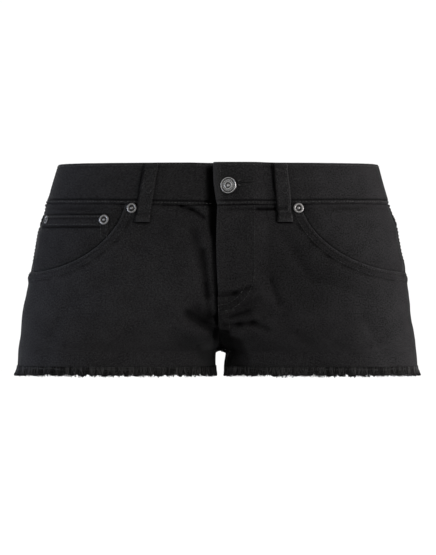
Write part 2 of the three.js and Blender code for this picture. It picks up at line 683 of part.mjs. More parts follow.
const buttonPlace = standOn(BUTTON_X, BUTTON_DROP);
const button = sew('button', buttonGeometry(), DARK_NICKEL);
button.position.copy(buttonPlace.position);
button.quaternion.copy(buttonPlace.turn);
for (const { name, x, drop, onFacing } of RIVETS) {
  const look = name === 'rivet_pocket_left' ? BRIGHT_NICKEL : DARK_NICKEL;
  const rivet = sew(name, rivetGeometry(onFacing ? LIFT.coin : LIFT.front), look);
  const place = standOn(x, drop);
  rivet.position.copy(place.position);
  rivet.quaternion.copy(place.turn);
}

export default garment;
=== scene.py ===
# Low-rise black denim shorts with a raw, frayed hem, filled out as if worn and hollow.
# Lengths are in millimetres and are turned into metres as each mesh is made. The front faces -Y, the wearer's
# left is +X, and heights are drops below the waistband's upper edge, as in the model that the script loads.

import math

import bpy
import numpy as np
from mathutils import Matrix, Vector

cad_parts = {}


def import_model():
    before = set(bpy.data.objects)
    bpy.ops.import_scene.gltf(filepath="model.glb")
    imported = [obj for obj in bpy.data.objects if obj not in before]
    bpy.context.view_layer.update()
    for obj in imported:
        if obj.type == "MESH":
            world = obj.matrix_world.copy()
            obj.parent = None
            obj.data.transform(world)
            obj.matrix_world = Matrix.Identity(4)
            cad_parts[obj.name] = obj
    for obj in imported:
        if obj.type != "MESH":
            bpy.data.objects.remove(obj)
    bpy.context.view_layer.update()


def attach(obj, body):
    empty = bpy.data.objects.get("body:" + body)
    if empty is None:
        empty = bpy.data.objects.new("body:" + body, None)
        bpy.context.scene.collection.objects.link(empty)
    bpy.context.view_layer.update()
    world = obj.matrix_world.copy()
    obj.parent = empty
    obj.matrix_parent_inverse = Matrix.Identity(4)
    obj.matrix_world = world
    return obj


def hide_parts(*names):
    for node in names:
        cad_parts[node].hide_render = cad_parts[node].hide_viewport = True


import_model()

MM = 0.001
ROOT = "root"
rng = np.random.default_rng(11)

# The body: half its width, and how far it stands before and behind the side seams, at a number of drops
SECTIONS = np.array([
    # drop, half width, front, back
    (0, 154.3, 97, 102),
    (34, 164, 101, 109),
    (60, 172.4, 104, 116),
    (92, 179.3, 105, 122),
    (116, 183.5, 104, 123),
    (148, 188.5, 101, 119),
    (178, 192, 96, 109),
    (202, 193.6, 93, 101),
], float)
ROUNDNESS = 2.3
GRAIN = 1.9
CLEFT_FRONT = 146
CLEFT_BACK = 126
CLEFT_EASE_IN = 1.4
CLEFT_EASE_OUT = 1.7
CROTCH_DROP = 180
LEG_GAP = 5.2
LEG_GAP_ROUNDING = 2.4
LEG_GAP_AT_HEM = 0.9
LEG_GAP_REACH = 7.5
CROTCH_DRIFT = 3.2  # how far the crotch hangs towards the wearer's left
DRIFT_START_DROP = 112
DRIFT_REACH = 62
HEM_DROP = 194.6
FRAY_END = 202
CLOTH = 1.2
SIDE_RATE = 175  # millimetres round the body for each unit of around, close to the side seam

# Soft troughs and ridges: on the back or not, a line from x, drop to x, drop, half width and depth
FOLDS = (
    # the pit between the legs
    (False, 3.8, 166, 4.4, 182, 7.5, -3.0),
    # under the fly, wearer's right leg: a deep wedge with a ridge below it, and a short crease by the pit
    (False, -27, 143, -3, 161, 3.8, -3.9),
    (False, -18, 140, -3, 152, 8.0, -3.2),
    (False, -36, 154, -12, 167, 5.0, 1.2),
    (False, -16, 175.5, -6, 170, 2.8, -2.6),
    (False, -40, 140, -24, 134, 4.0, 0.8),
    (False, -44, 166, -22, 178, 6.0, -0.8),
    # wearer's left leg: a crescent below the fly, then the leg's inner side
    (False, 9, 155, 22, 154, 3.4, -2.7),
    (False, 22, 153.8, 35, 152, 3.6, -2.3),
    (False, 35, 152, 49, 158.5, 3.4, -2.3),
    (False, 13, 150.5, 36, 147, 3.0, 1.9),
    (False, 12, 160, 22, 158, 2.0, -1.0),
    (False, 15, 161, 23, 162, 3.4, 0.7),
    (False, 25, 163, 35, 178, 4.6, 0.9),
    (False, 12, 168, 18, 193, 7.0, -1.6),
    (False, 24, 170, 31, 191, 3.6, -0.9),
    (False, 12, 147.5, 32, 140.5, 1.7, -2.6),
    (False, 3, 126, 18, 124, 2.6, -2.6),
    (False, 18, 124, 33, 118, 2.4, -2.8),
    (False, 6, 135, 20, 131, 2.0, -1.3),
    (False, 26, 136, 40, 128, 2.4, -1.2),
    (False, 52, 110, 60, 133, 2.8, -1.6),
    (False, 44, 124, 56, 142, 6.0, 1.0),
    (False, 62, 152, 88, 170, 7.0, -1.2),
    # beside the fly and under the waistband
    (False, -12.5, 84, -8, 126, 3.3, -3.8),
    (False, -9, 116, -5, 146, 2.8, -2.4),
    (False, -20, 66, -15, 98, 5.0, -1.6),
    (False, -30, 47, -16, 78, 4.5, -1.0),
    (False, -24, 84, -19, 118, 4.0, 0.9),
    (False, -50, 39.8, -33, 40.8, 1.3, -1.9),
    (False, -33, 40.8, -23, 43.4, 1.6, -3.6),
    (False, -23, 43.4, -11, 51.5, 2.0, -3.8),
    (False, -52, 44, -24, 52, 3.0, 0.8),
    (False, 10, 43.9, 40, 43.6, 1.1, -1.6),
    (False, 40, 43.6, 66, 43.2, 1.2, -3.2),
    (False, 62, 66, 92, 112, 6.0, -1.0),
    (False, -64, 58, -84, 98, 6.0, -0.9),
    (False, -30, 62, -58, 84, 6.5, 0.7),
    (False, 100, 110, 150, 128, 7.0, -1.0),
    (False, -98, 112, -140, 132, 7.0, -1.0),
    (False, -118, 44.5, -156, 40.5, 1.6, -1.2),
    (False, -122, 49, -150, 46, 1.6, 0.6),
    (False, 118, 52, 160, 64, 5.0, -0.7),
    (False, -70, 150, -104, 176, 7.0, -1.1),
    (False, -52, 96, -78, 128, 8.0, -0.8),
    (False, 96, 158, 130, 182, 7.0, -1.0),
    (False, 142, 146, 158, 178, 6.0, -0.9),
    (False, -146, 140, -160, 176, 6.0, -0.9),
    # the seat
    (True, 13, 150, 56, 160, 4.4, -3.4),
    (True, -12, 146, -50, 160, 4.8, -3.6),
    (True, 16, 160, 62, 171, 4.8, 2.2),
    (True, -14, 158, -58, 172, 4.8, 2.1),
    (True, 20, 170, 74, 178, 4.4, -2.6),
    (True, -18, 172, -64, 182, 4.4, -2.3),
    (True, 8, 128, 26, 140, 2.8, -2.2),
    (True, -8, 124, -30, 142, 3.0, -2.0),
    (True, 10, 96, 16, 124, 3.6, -1.4),
    (True, -9, 100, -13, 120, 3.0, -0.9),
    (True, -40, 50, -88, 46, 2.6, -1.0),
    (True, 34, 46, 84, 51, 2.8, -1.1),
    (True, 142, 96, 156, 132, 5.5, -1.3),
    (True, -146, 100, -154, 140, 5.2, -1.2),
    (True, 118, 168, 150, 186, 5.4, -1.3),
    (True, -112, 172, -144, 180, 5.4, -1.1),
    (True, 136, 62, 150, 84, 4.6, -0.9),
)

# At the side seams: side, drop, half width and height
SIDE_LUMPS = (
    (-1, 38, 4.5, 1.5),
    (-1, 66, 7, 0.8),
    (-1, 109, 4, 1.0),
    (-1, 140, 26, 1.6),
    (-1, 176, 10, 0.8),
    (1, 62, 8, 0.7),
    (1, 97, 7, 1.0),
    (1, 110, 4, 0.9),
    (1, 148, 15, -1.5),
    (1, 188, 9, 0.7),
)

WAIST_SEAM = 36.8  # the waistband's lower edge away from the fly
SEAM_STITCH_RISE = 1.2  # the stitching over that edge
SEAM_TUCK = 0.6  # how far the panels reach up behind it
WAIST_SEAM_DIP = 2.4  # how much lower it runs at the fly
WAISTBAND_HEIGHT = 1.0  # its outer face over the skin
WAISTBAND_THICKNESS = 2.3
LAP_LIFT = 3.9
LAP_STITCH = 3.0
TOP_STITCH = 1.9
WAIST_RATE = 205  # millimetres round the waistband for each unit of turn
BEHIND_X = 400  # stands for x behind the side seams, where nothing placed by x at the front reaches
LAP_EDGE_TOP_X = -2
LAP_EDGE_BOTTOM_X = 1.6
LAP_FLAT_X = 34
LAP_JOIN_X = 56
UNDERLAP_X = 30

FLY_LAP_LIFT = 2.3
FLY_WIDTH = 36
FLY_TURN_DROP = 104
FLY_END_DROP = 141
FLY_UNDERLAP = 8
BELOW_FLY_STITCHES = (1.8, 10.6)

MOUTH_START = {1: 80, -1: 86}
MOUTH_TOP = 34
MOUTH_END_DROP = 104
MOUTH_ROUNDNESS = 1.8
MOUTH_BAND = 8.6
MOUTH_RISE = 0.5
MOUTH_STITCHES = (2.2, 7.6)  # each line of stitches from its edge, here and below
FACING_DEPTH = -1.7
FACING_MARGIN = 14

COIN_INNER_X = 103
COIN_OUTER_X = 164.8  # at its top: the edge keeps its place round the body below that
COIN_TOP = 49.5
COIN_HEM = 10.5
COIN_HEM_STITCHES = (1.6, COIN_HEM - 1.8)

YOKE_CENTRE_DROP = 80
YOKE_SIDE_DROP = 59
LAPPED_SEAM_WIDTH = 9.5
LAPPED_SEAM_STITCHES = (1.8, 8.2)
SIDE_STITCH = 2.0
COLUMNS_GRADING = 1.06  # above 1, a panel's columns stand closer together towards the middle seam
BACK_POCKET_STITCHES = (1.9, 8.0)
BACK_POCKET = {"inner": 27, "outer": 133, "top": 84, "inner_top": 90, "side": 158, "point": 174, "taper": 5}

LOOP_WIDTH = 13.2
LOOP_TOP = 0.8
LOOP_BOTTOM = 55.7
LOOP_TACKS = (6.2, 51.8)
LOOP_TACK_HEIGHT = 1.9
LOOPS = (
    # name, x of its middle line at the top and bottom, or turn round the body
    ("belt_loop_front_left", (60.4, 65.5), None),
    ("belt_loop_front_right", (-60.8, -70.0), None),
    ("belt_loop_side_left", None, 1.3),
    ("belt_loop_side_right", None, -1.3),
    ("belt_loop_back", None, 2.0),
)

BUTTON_X = 12.3
BUTTON_DROP = 22
BUTTON_TILT = math.radians(-21)
BUTTON_SIZE = 0.95
SLIT_START_X = 21.3
SLIT_END_X = 35
SLIT_DROP = 19.3
RIVETS = (
    # name, x, drop, height of the cloth there, painted brightness (lit or shaded by where each faces), size
    ("rivet_pocket_left", 78.3, 42.8, 0.75, 1.0, 1),
    ("rivet_pocket_right", -79.8, 42.8, 0.75, 0.86, 1),
    ("rivet_coin_inner", -106.1, 53.8, 1.4, 0.86, 1),
    ("rivet_coin_outer", -162.8, 53.6, 1.4, 0.5, 0.8),
)


# Small numeric helpers

def smooth(value, low, high):
    share = np.clip((value - low) / (high - low), 0, 1)
    return share * share * (3 - 2 * share)


def hill(value, middle, half_width):
    return np.exp(-(((value - middle) / half_width) ** 2))


def lerp(start, end, share):
    return start + (end - start) * share


def unit(vectors):
    return vectors / np.maximum(np.linalg.norm(vectors, axis=-1, keepdims=True), 1e-9)


# The body's skin

def section_at(drop):
    """Half width, front and back at each drop, on a smooth curve through the rows of the table."""
    drops, values = SECTIONS[:, 0], SECTIONS[:, 1:]
    last = len(SECTIONS) - 1
    i = np.clip(np.searchsorted(drops, drop, side="right") - 1, 0, last - 1)
    before, after = np.maximum(i - 1, 0), np.minimum(i + 2, last)
    span = (drops[i + 1] - drops[i])[..., None]
    t = (drop - drops[i])[..., None] / span
    start = (values[i + 1] - values[before]) / (drops[i + 1] - drops[before])[..., None] * span
    end = (values[after] - values[i]) / (drops[after] - drops[i])[..., None] * span
    a = 2 * (values[i] - values[i + 1]) + start + end
    b = 3 * (values[i + 1] - values[i]) - 2 * start - end
    return np.moveaxis(((a * t + b) * t + start) * t + values[i], -1, 0)


def body(around, drop):
    """x out from the middle plane and y of the smooth body.

    around is 0 at the centre front, 1 at the side seam and 2 at the centre back."""
    around, drop = np.broadcast_arrays(np.asarray(around, float), np.asarray(drop, float))
    half_width, front, back = section_at(drop)
    is_back = around > 1
    share = np.where(is_back, 2 - around, around)
    cleft = np.where(is_back, CLEFT_BACK, CLEFT_FRONT)
    fall = np.clip((drop - cleft) / (CROTCH_DROP - cleft), 0, 1)
    split = 1 - (1 - fall**CLEFT_EASE_IN) ** CLEFT_EASE_OUT
    radius = half_width / (1 + split)
    start_angle = np.arccos(-(split ** (ROUNDNESS / 2)))
    quarter = math.pi / 2
    angle = quarter * (1 - share) + (start_angle - quarter) * (1 - share) ** GRAIN
    cosine = np.cos(angle)
    x = half_width - radius + radius * np.sign(cosine) * np.abs(cosine) ** (2 / ROUNDNESS)
    y = np.where(is_back, back, -front) * np.maximum(np.sin(angle), 0) ** (2 / ROUNDNESS)
    into_leg = np.clip((drop - CROTCH_DROP) / LEG_GAP_ROUNDING, 0, 1)
    gap = LEG_GAP * np.sqrt(1 - (1 - into_leg) ** 2)
    gap = gap * lerp(1, LEG_GAP_AT_HEM, smooth(drop, CROTCH_DROP + 2, HEM_DROP))
    return x + gap * np.exp(-((x / LEG_GAP_REACH) ** 2)), y


def skin(side, around, drop):
    """Points on the smooth body."""
    around, drop = np.broadcast_arrays(np.asarray(around, float), np.asarray(drop, float))
    x, y = body(around, drop)
    drift = CROTCH_DRIFT * smooth(drop, DRIFT_START_DROP, CROTCH_DROP) * np.exp(-((x / DRIFT_REACH) ** 2))
    drift = drift * lerp(1, 0.75, smooth(drop, CROTCH_DROP, HEM_DROP))
    return np.stack([side * x + drift, y, -drop], -1)


def half_width_at(drop):
    return section_at(np.array(float(drop)))[0]


def skin_normal(side, around, drop):
    """The directions out of the smooth body."""
    step, fall = 0.004, 0.4
    before = np.where(around < 0, around - step, np.maximum(around - step, 0))
    across = skin(side, np.minimum(around + step, 2), drop) - skin(side, before, drop)
    down = skin(side, around, drop + fall) - skin(side, around, np.maximum(drop - fall, 0))
    side = np.asarray(side, float)
    return unit(np.cross(down, across)) * (side[..., None] if side.ndim else side)


def around_at(x, drop, is_back=False):
    """Where round the body the skin stands x from the middle plane. Below 0 is across the middle."""
    x, drop = np.broadcast_arrays(np.asarray(x, float), np.asarray(drop, float))
    low, high = np.full(x.shape, -0.2), np.ones(x.shape)
    for _ in range(30):
        middle = (low + high) / 2
        under = body(2 - middle if is_back else middle, drop)[0] < x
        low, high = np.where(under, middle, low), np.where(under, high, middle)
    share = (low + high) / 2
    return 2 - share if is_back else share


def fold_height(x, is_back, drop, around):
    """The creases and ridges listed in the tables."""
    height = np.zeros(x.shape)
    for side, middle, half_width, depth in SIDE_LUMPS:
        height += np.where(x * side > 0, depth * hill(drop, middle, half_width) * hill(around, 1, 0.3), 0)
    for on_back, x1, drop1, x2, drop2, width, depth in FOLDS:
        along_x, along_drop = x2 - x1, drop2 - drop1
        reach = ((x - x1) * along_x + (drop - drop1) * along_drop) / (along_x**2 + along_drop**2)
        t = np.clip(reach, 0, 1)
        away = np.hypot(x - x1 - t * along_x, drop - drop1 - t * along_drop)
        height += np.where(is_back == on_back, depth * np.exp(-((away / width) ** 2)), 0)
    return height


WAVES = [
    (unit(rng.normal(size=3)), rng.uniform(26, 75), rng.uniform(0, 2 * math.pi), rng.uniform(0.5, 1))
    for _ in range(14)
]


def unevenness(points):
    """A slow, small wander of the cloth, the same for every layer at one place."""
    wander = sum(
        size * np.sin(points @ direction * 2 * math.pi / length + phase)
        for direction, length, phase, size in WAVES
    )
    return 0.11 * wander


def tilt_of(normal):
    """How squarely the cloth faces the front or the back: 1 there, and 0 where it faces the side."""
    return np.abs(normal[..., 1]) / np.maximum(np.hypot(normal[..., 0], normal[..., 1]), 1e-6)


def lay(side, around, drop, height, extra=0.0):
    """Points of a layer of cloth on the body, and the directions out of it."""
    around, drop = np.broadcast_arrays(np.asarray(around, float), np.asarray(drop, float))
    base = skin(side, around, drop)
    normal = skin_normal(side, around, drop)
    over = height(np.abs(body(around, drop)[0]), drop, around, tilt_of(normal))
    over = over + fold_height(base[..., 0], around > 1, drop, around) + unevenness(base) + extra
    return base + normal * over[..., None], normal


# Meshes

def clip_grid(data, keep):
    """The cells of a grid of point data where keep is above 0, cut along the line where it is 0."""
    rows, columns = keep.shape
    flat, points = keep.ravel(), data.reshape(rows * columns, -1)
    index = np.arange(rows * columns).reshape(rows, columns)
    cells = np.stack([index[:-1, :-1], index[1:, :-1], index[1:, 1:], index[:-1, 1:]], -1).reshape(-1, 4)
    inside = flat[cells] > 0
    faces = cells[inside.all(1)].tolist()
    made, added = {}, []

    def cut(i, j):
        key = (min(i, j), max(i, j))
        if key not in made:
            made[key] = len(points) + len(added)
            added.append(lerp(points[i], points[j], flat[i] / (flat[i] - flat[j])))
        return made[key]

    for cell in cells[inside.any(1) & ~inside.all(1)].tolist():
        polygon = []
        for i, j in zip(cell, cell[1:] + cell[:1]):
            if flat[i] > 0:
                polygon.append(i)
            if (flat[i] > 0) != (flat[j] > 0):
                polygon.append(cut(i, j))
        faces.append(polygon)
    if added:
        points = np.vstack([points, added])
    used = np.unique(np.concatenate([np.array(face) for face in faces]))
    renumbered = np.zeros(len(points), int)
    renumbered[used] = np.arange(len(used))
    return points[used], [renumbered[face].tolist() for face in faces]


def close_sheet(outer, inner, normal, faces):
    """Joins a sheet's outer and inner faces round its edge with a rounded rim."""
    count = len(outer)
    directed = {(a, b) for face in faces for a, b in zip(face, face[1:] + face[:1])}
    border = [(a, b) for a, b in directed if (b, a) not in directed]
    outward = np.zeros((count, 3))
    for a, b in border:
        direction = np.cross(outer[b] - outer[a], normal[a])
        outward[a] += direction
        outward[b] += direction
    rim = sorted({i for edge in border for i in edge})
    rim_index = {i: 2 * count + k for k, i in enumerate(rim)}
    thickness = np.linalg.norm(outer[rim] - inner[rim], axis=1)[:, None]
    middle = (outer[rim] + inner[rim]) / 2 + unit(outward[rim]) * thickness * 0.3
    closed = list(faces) + [[i + count for i in reversed(face)] for face in faces]
    for a, b in border:
        closed.append([b, a, rim_index[a], rim_index[b]])
        closed.append([rim_index[b], rim_index[a], a + count, b + count])
    return np.vstack([outer, inner, middle]), closed, rim


def tone_of(values):
    return [("tone", "FLOAT", values)]


def link(name, data):
    made = bpy.data.objects.new(name, data)
    bpy.context.scene.collection.objects.link(made)
    return made


def add_object(name, points, faces, material, attributes):
    mesh = bpy.data.meshes.new(name)
    mesh.from_pydata((points * MM).tolist(), [], faces)
    mesh.polygons.foreach_set("use_smooth", [True] * len(mesh.polygons))
    for key, kind, values in attributes:
        layer = mesh.attributes.new(key, kind, "POINT")
        layer.data.foreach_set("vector" if kind == "FLOAT_VECTOR" else "value", np.asarray(values, float).ravel())
    mesh.materials.append(material)
    mesh.validate()
    made = link(name, mesh)
    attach(made, ROOT)
    return made


def cloth_piece(name, side, around, drop, height, thickness=CLOTH, keep=None, wear_and_shading=None, flip=False):
    """Lays a grid of cloth on the body and closes it into a thin shell. Rows go down, columns go round."""
    outer, normal = lay(side, around, drop, height)
    inner = outer - normal * thickness
    length_round = np.cumsum(np.linalg.norm(np.diff(outer, axis=1, prepend=outer[:, :1]), axis=-1), axis=1)
    length_down = np.cumsum(np.linalg.norm(np.diff(outer, axis=0, prepend=outer[:1]), axis=-1), axis=0)
    keep = np.ones(outer.shape[:2]) if keep is None else keep
    # The third number: wear, painted light and painted shade.
    wear_and_painted_shading = np.zeros(outer.shape[:2]) if wear_and_shading is None else wear_and_shading
    data = np.concatenate([
        outer, inner, normal, length_round[..., None], length_down[..., None], wear_and_painted_shading[..., None],
    ], -1)
    data, faces = clip_grid(data, keep)
    if flip:
        faces = [face[::-1] for face in faces]
    points, faces, rim = close_sheet(data[:, :3], data[:, 3:6], data[:, 6:9], faces)
    weave = np.vstack([data[:, 9:12], data[:, 9:12], data[rim, 9:12]])
    made = add_object(name + "_cloth", points, faces, MATERIALS["denim"], [("cloth", "FLOAT_VECTOR", weave)])
    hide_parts(name)
    return made


def tubes(centres, out, radius, sides):
    """Closed tubes along rows of points. out points away from the cloth at each of them."""
    runs, steps, _ = centres.shape
    along = unit(np.gradient(centres, axis=1))
    beside = unit(np.cross(along, out))
    out = np.cross(beside, along)
    angles = np.arange(sides) * 2 * math.pi / sides
    ring = out[:, :, None] * np.cos(angles)[:, None] + beside[:, :, None] * np.sin(angles)[:, None]
    points = centres[:, :, None] + ring * radius[..., None, None]
    index = np.arange(runs * steps * sides).reshape(runs, steps, sides)
    following = np.roll(index, -1, axis=2)
    walls = np.stack([index[:, :-1], following[:, :-1], following[:, 1:], index[:, 1:]], -1).reshape(-1, 4)
    caps = index[:, 0, ::-1].tolist() + index[:, -1].tolist()
    return points.reshape(-1, 3), walls.tolist() + caps


def join(parts):
    """One list of points and faces from several."""
    points, faces, start = [], [], 0
    for part_points, part_faces in parts:
        points.append(part_points)
        faces += [[i + start for i in face] for face in part_faces]
        start += len(part_points)
    return np.vstack(points), faces


# Materials

def new_material(name):
    material = bpy.data.materials.new(name)
    material.use_nodes = True
    material.node_tree.nodes.clear()
    return material, Nodes(material.node_tree)


class Nodes:
    """A short way to write a node tree."""

    def __init__(self, tree):
        self.tree = tree

    def add(self, kind, inputs=None, **settings):
        node = self.tree.nodes.new(kind)
        for key, value in settings.items():
            setattr(node, key, value)
        for key, value in (inputs or {}).items():
            if isinstance(value, bpy.types.NodeSocket):
                self.tree.links.new(value, node.inputs[key])
            else:
                node.inputs[key].default_value = value
        return node

    def maths(self, operation, first, second=0.0):
        return self.add("ShaderNodeMath", {0: first, 1: second}, operation=operation).outputs[0]

    def times(self, first, second):
        return self.maths("MULTIPLY", first, second)

    def plus(self, first, second):
        return self.maths("ADD", first, second)

    def clamp(self, value):
        return self.add("ShaderNodeClamp", {0: value}).outputs[0]

    def stretch(self, place, factors):
        return self.add("ShaderNodeVectorMath", {0: place, 1: factors}, operation="MULTIPLY").outputs[0]

    def noise(self, place, scale, detail, roughness=0.5):
        inputs = {"Vector": place, "Scale": scale, "Detail": detail, "Roughness": roughness}
        return self.add("ShaderNodeTexNoise", inputs).outputs[0]

    def bump(self, height, strength, distance):
        return self.add("ShaderNodeBump", {"Height": height, "Strength": strength, "Distance": distance}).outputs[0]

    def mix(self, share, first, second):
        node = self.add("ShaderNodeMix", data_type="RGBA")
        for key, kind, value in (("Factor", "VALUE", share), ("A", "RGBA", first), ("B", "RGBA", second)):
            socket = next(s for s in node.inputs if s.name == key and s.type == kind)
            if isinstance(value, bpy.types.NodeSocket):
                self.tree.links.new(value, socket)
            else:
                socket.default_value = value
        return next(s for s in node.outputs if s.type == "RGBA")

    def finish(self, colour, **sockets):
        """The surface itself. Its other sockets are named with underscores."""
        inputs = {"Base Color": colour, **{key.replace("_", " "): value for key, value in sockets.items()}}
        shader = self.add("ShaderNodeBsdfPrincipled", inputs)
        self.add("ShaderNodeOutputMaterial", {"Surface": shader.outputs[0]})


def grey(level, tint=(1.0, 1.0, 1.0)):
    return (level * tint[0], level * tint[1], level * tint[2], 1.0)


def denim_material():
    """Black twill: diagonal ribs, uneven yarns, fuzz, and a third number that makes the cloth paler where high (worn
    edges, and painted light) and near black where low (painted shade).
    """
    material, nodes = new_material("black_denim")
    cloth = nodes.add("ShaderNodeAttribute", attribute_name="cloth").outputs["Vector"]
    round_mm, down_mm, wear_and_painted_shading = nodes.add("ShaderNodeSeparateXYZ", {0: cloth}).outputs
    rib_pitch = 1.15
    slant = nodes.plus(nodes.times(round_mm, 0.86), nodes.times(down_mm, 0.5))
    ribs = nodes.times(nodes.maths("SINE", nodes.times(slant, 2 * math.pi / rib_pitch)), 0.5)
    yarns = nodes.noise(nodes.stretch(cloth, (1.6, 0.22, 0)), 1.0, 3.0)
    place = nodes.stretch(cloth, (1.0, 1.0, 0))
    fuzz = nodes.noise(place, 0.9, 6.0, 0.75)
    stains = nodes.noise(place, 0.05, 4.0, 0.6)
    slubs = nodes.noise(place, 0.62, 4.0, 0.75)
    speckle = nodes.times(nodes.maths("SUBTRACT", fuzz, 0.5), 2.4)
    speckle = nodes.plus(speckle, nodes.times(nodes.maths("SUBTRACT", slubs, 0.5), 2.6))
    weave = nodes.plus(nodes.times(ribs, 0.25), nodes.times(yarns, 0.4))
    light = nodes.clamp(nodes.plus(nodes.plus(weave, speckle), nodes.times(stains, 0.5)))
    colour = nodes.mix(light, grey(0.0036, (1, 1, 1.04)), grey(0.0222, (1, 0.99, 1.0)))
    # Paler where the third number is above 0: worn cloth, and painted light in places.
    colour = nodes.mix(nodes.clamp(nodes.times(wear_and_painted_shading, 0.5)), colour, grey(0.03))
    # Near black where it is below 0: painted shade in creases, grooves, under the crotch and beside the fly and
    # loops.
    colour = nodes.mix(nodes.clamp(nodes.times(wear_and_painted_shading, -0.95)), colour, grey(0.0004))
    relief = nodes.plus(nodes.times(ribs, 0.5), nodes.times(fuzz, 1.2))
    relief = nodes.plus(nodes.plus(relief, nodes.times(yarns, 0.6)), nodes.times(slubs, 1.5))
    nodes.finish(colour, Roughness=0.9, Specular_IOR_Level=0.01, Normal=nodes.bump(relief, 0.5, 0.00022),
                 Sheen_Weight=0.011, Sheen_Roughness=0.4)
    return material


def thread_material(name, dark, pale, sheen, pitch):
    """Twisted black thread. tone is a number for each strand, so that some are paler."""
    material, nodes = new_material(name)
    tone = nodes.add("ShaderNodeAttribute", attribute_name="tone").outputs["Fac"]
    place = nodes.add("ShaderNodeTexCoord").outputs["Object"]
    twist = nodes.add("ShaderNodeTexWave", {
        "Vector": place, "Scale": pitch, "Distortion": 2.0, "Detail": 2.0,
    }, bands_direction="DIAGONAL").outputs["Fac"]
    share = nodes.plus(nodes.times(tone, 0.75), nodes.times(nodes.noise(place, 2600.0, 3.0), 0.25))
    colour = nodes.mix(share, grey(dark), grey(pale, (1, 0.99, 0.97)))
    nodes.finish(colour, Roughness=0.8, Specular_IOR_Level=0.03, Normal=nodes.bump(twist, 0.35, 0.0001),
                 Sheen_Weight=sheen, Sheen_Roughness=0.4)
    return material


def nickel_material(name, dark, pale, roughness):
    """Worn nickel: paler on what stands out, dark in the hollows, with fine scratches."""
    material, nodes = new_material(name)
    tone = nodes.add("ShaderNodeAttribute", attribute_name="tone").outputs["Fac"]
    place = nodes.add("ShaderNodeTexCoord").outputs["Object"]
    scratches = nodes.noise(nodes.stretch(place, (1.0, 1.0, 6.0)), 2200.0, 2.0)
    share = nodes.plus(nodes.times(tone, 0.85), nodes.times(nodes.noise(place, 900.0, 5.0), 0.3))
    share = nodes.clamp(nodes.maths("SUBTRACT", share, 0.1))
    colour = nodes.mix(share, grey(dark, (1, 0.98, 0.95)), grey(pale, (1, 0.985, 0.96)))
    rough = nodes.plus(nodes.times(scratches, 0.25), roughness - 0.12)
    nodes.finish(colour, Metallic=1.0, Roughness=rough, Normal=nodes.bump(scratches, 0.15, 0.0001))
    return material


MATERIALS = {
    "denim": denim_material(),
    "stitch": thread_material("black_stitching", 0.005, 0.044, 0.012, 900.0),
    "fray": thread_material("frayed_threads", 0.0006, 0.044, 0.012, 500.0),
    "button": nickel_material("button_nickel", 0.012, 0.27, 0.4),
    "rivet": nickel_material("rivet_nickel", 0.01, 0.18, 0.48),
}


# Shapes that several pieces share

def seam(edge, rise, width, stitch_lines):
    """Relief beside a sewn edge: layered cloth as wide as width, sunk along each line of stitches."""
    relief = rise * (1 - smooth(edge, width - 1.2, width + 1.4)) - 0.3 * hill(edge, 0, 0.9)
    for line in stitch_lines:
        relief = relief - 0.22 * hill(edge, line, 0.8)
    return relief


def pucker(place, edge, reach):
    """Small uneven gathers that die away from a sewn edge."""
    waves = np.sin(place / 1.9) + 0.8 * np.sin(place / 3.1 + 1.3) + 0.7 * np.sin(place / 5.3 + 0.4)
    return 0.07 * waves * np.exp(-np.maximum(edge, 0) / reach)


def waist_seam(x):
    return WAIST_SEAM + WAIST_SEAM_DIP * np.exp(-((x / 90) ** 2))


def under_waistband(out, drop):
    """The cloth turns in where it is sewn to the waistband, over the layers of the seam behind it."""
    down = drop - waist_seam(out)
    layers = 0.35 * hill(down, 2.4, 1.5) - 0.4 * hill(down, 4.6, 0.9) * (0.6 + 0.4 * np.sin(out / 17))
    return pucker(out, down, 7) - 1.2 * hill(down, 0, 1.5) + layers


def mouth_distance(side, out, drop, tilt, grow=0.0):
    """Millimetres from the pocket mouth's edge, above 0 on the front panel."""
    end_x = half_width_at(MOUTH_END_DROP)
    width = end_x - MOUTH_START[side] + grow
    height = MOUTH_END_DROP - MOUTH_TOP + grow
    reach = np.maximum((end_x - out) / width, 1e-4)
    fall = np.maximum((drop - MOUTH_TOP) / height, 1e-4)
    level = (reach**MOUTH_ROUNDNESS + fall**MOUTH_ROUNDNESS) ** (1 / MOUTH_ROUNDNESS)
    slope_round = (reach / level) ** (MOUTH_ROUNDNESS - 1) / width * tilt
    slope_down = (fall / level) ** (MOUTH_ROUNDNESS - 1) / height
    return (level - 1) / np.hypot(slope_round, slope_down)


def mouth_line(side, grow, count=90):
    """around and drop along the pocket mouth's edge, moved in and down by grow."""
    evenness = 2.2
    angle = math.pi / 2 * (1 - (1 - np.linspace(0, 1, count)) ** evenness)
    power = 2 / MOUTH_ROUNDNESS
    end_x = half_width_at(MOUTH_END_DROP)
    x = end_x - (end_x - MOUTH_START[side] + grow) * np.cos(angle) ** power
    drop = MOUTH_TOP + (MOUTH_END_DROP - MOUTH_TOP + grow) * np.sin(angle) ** power
    around = around_at(x, drop)
    around[-1] = 1
    return around, drop


def panel_rows(top, cleft):
    """Drops of a panel's rows, close together where the cleft turns under."""
    cell = 1.5
    upper = np.linspace(top, cleft, int((cleft - top) / cell) + 1)
    turning = cleft + (CROTCH_DROP - cleft) * np.sin(np.linspace(0, math.pi / 2, 48))
    legs = CROTCH_DROP + LEG_GAP_ROUNDING * (1 - np.cos(np.linspace(0, math.pi / 2, 6)))
    lower = np.linspace(CROTCH_DROP + LEG_GAP_ROUNDING, HEM_DROP, 9)
    return np.concatenate([upper, turning[1:], legs[1:], lower[1:]])


def hem_wave(around, drop, phase):
    """The hem wanders in and out a little, and most at its very edge."""
    waves = np.sin(around * 9 + phase) + 0.7 * np.sin(around * 21 + 2 * phase) + 0.4 * np.sin(around * 47)
    return 0.45 * waves * smooth(drop, HEM_DROP - 34, HEM_DROP + 4)


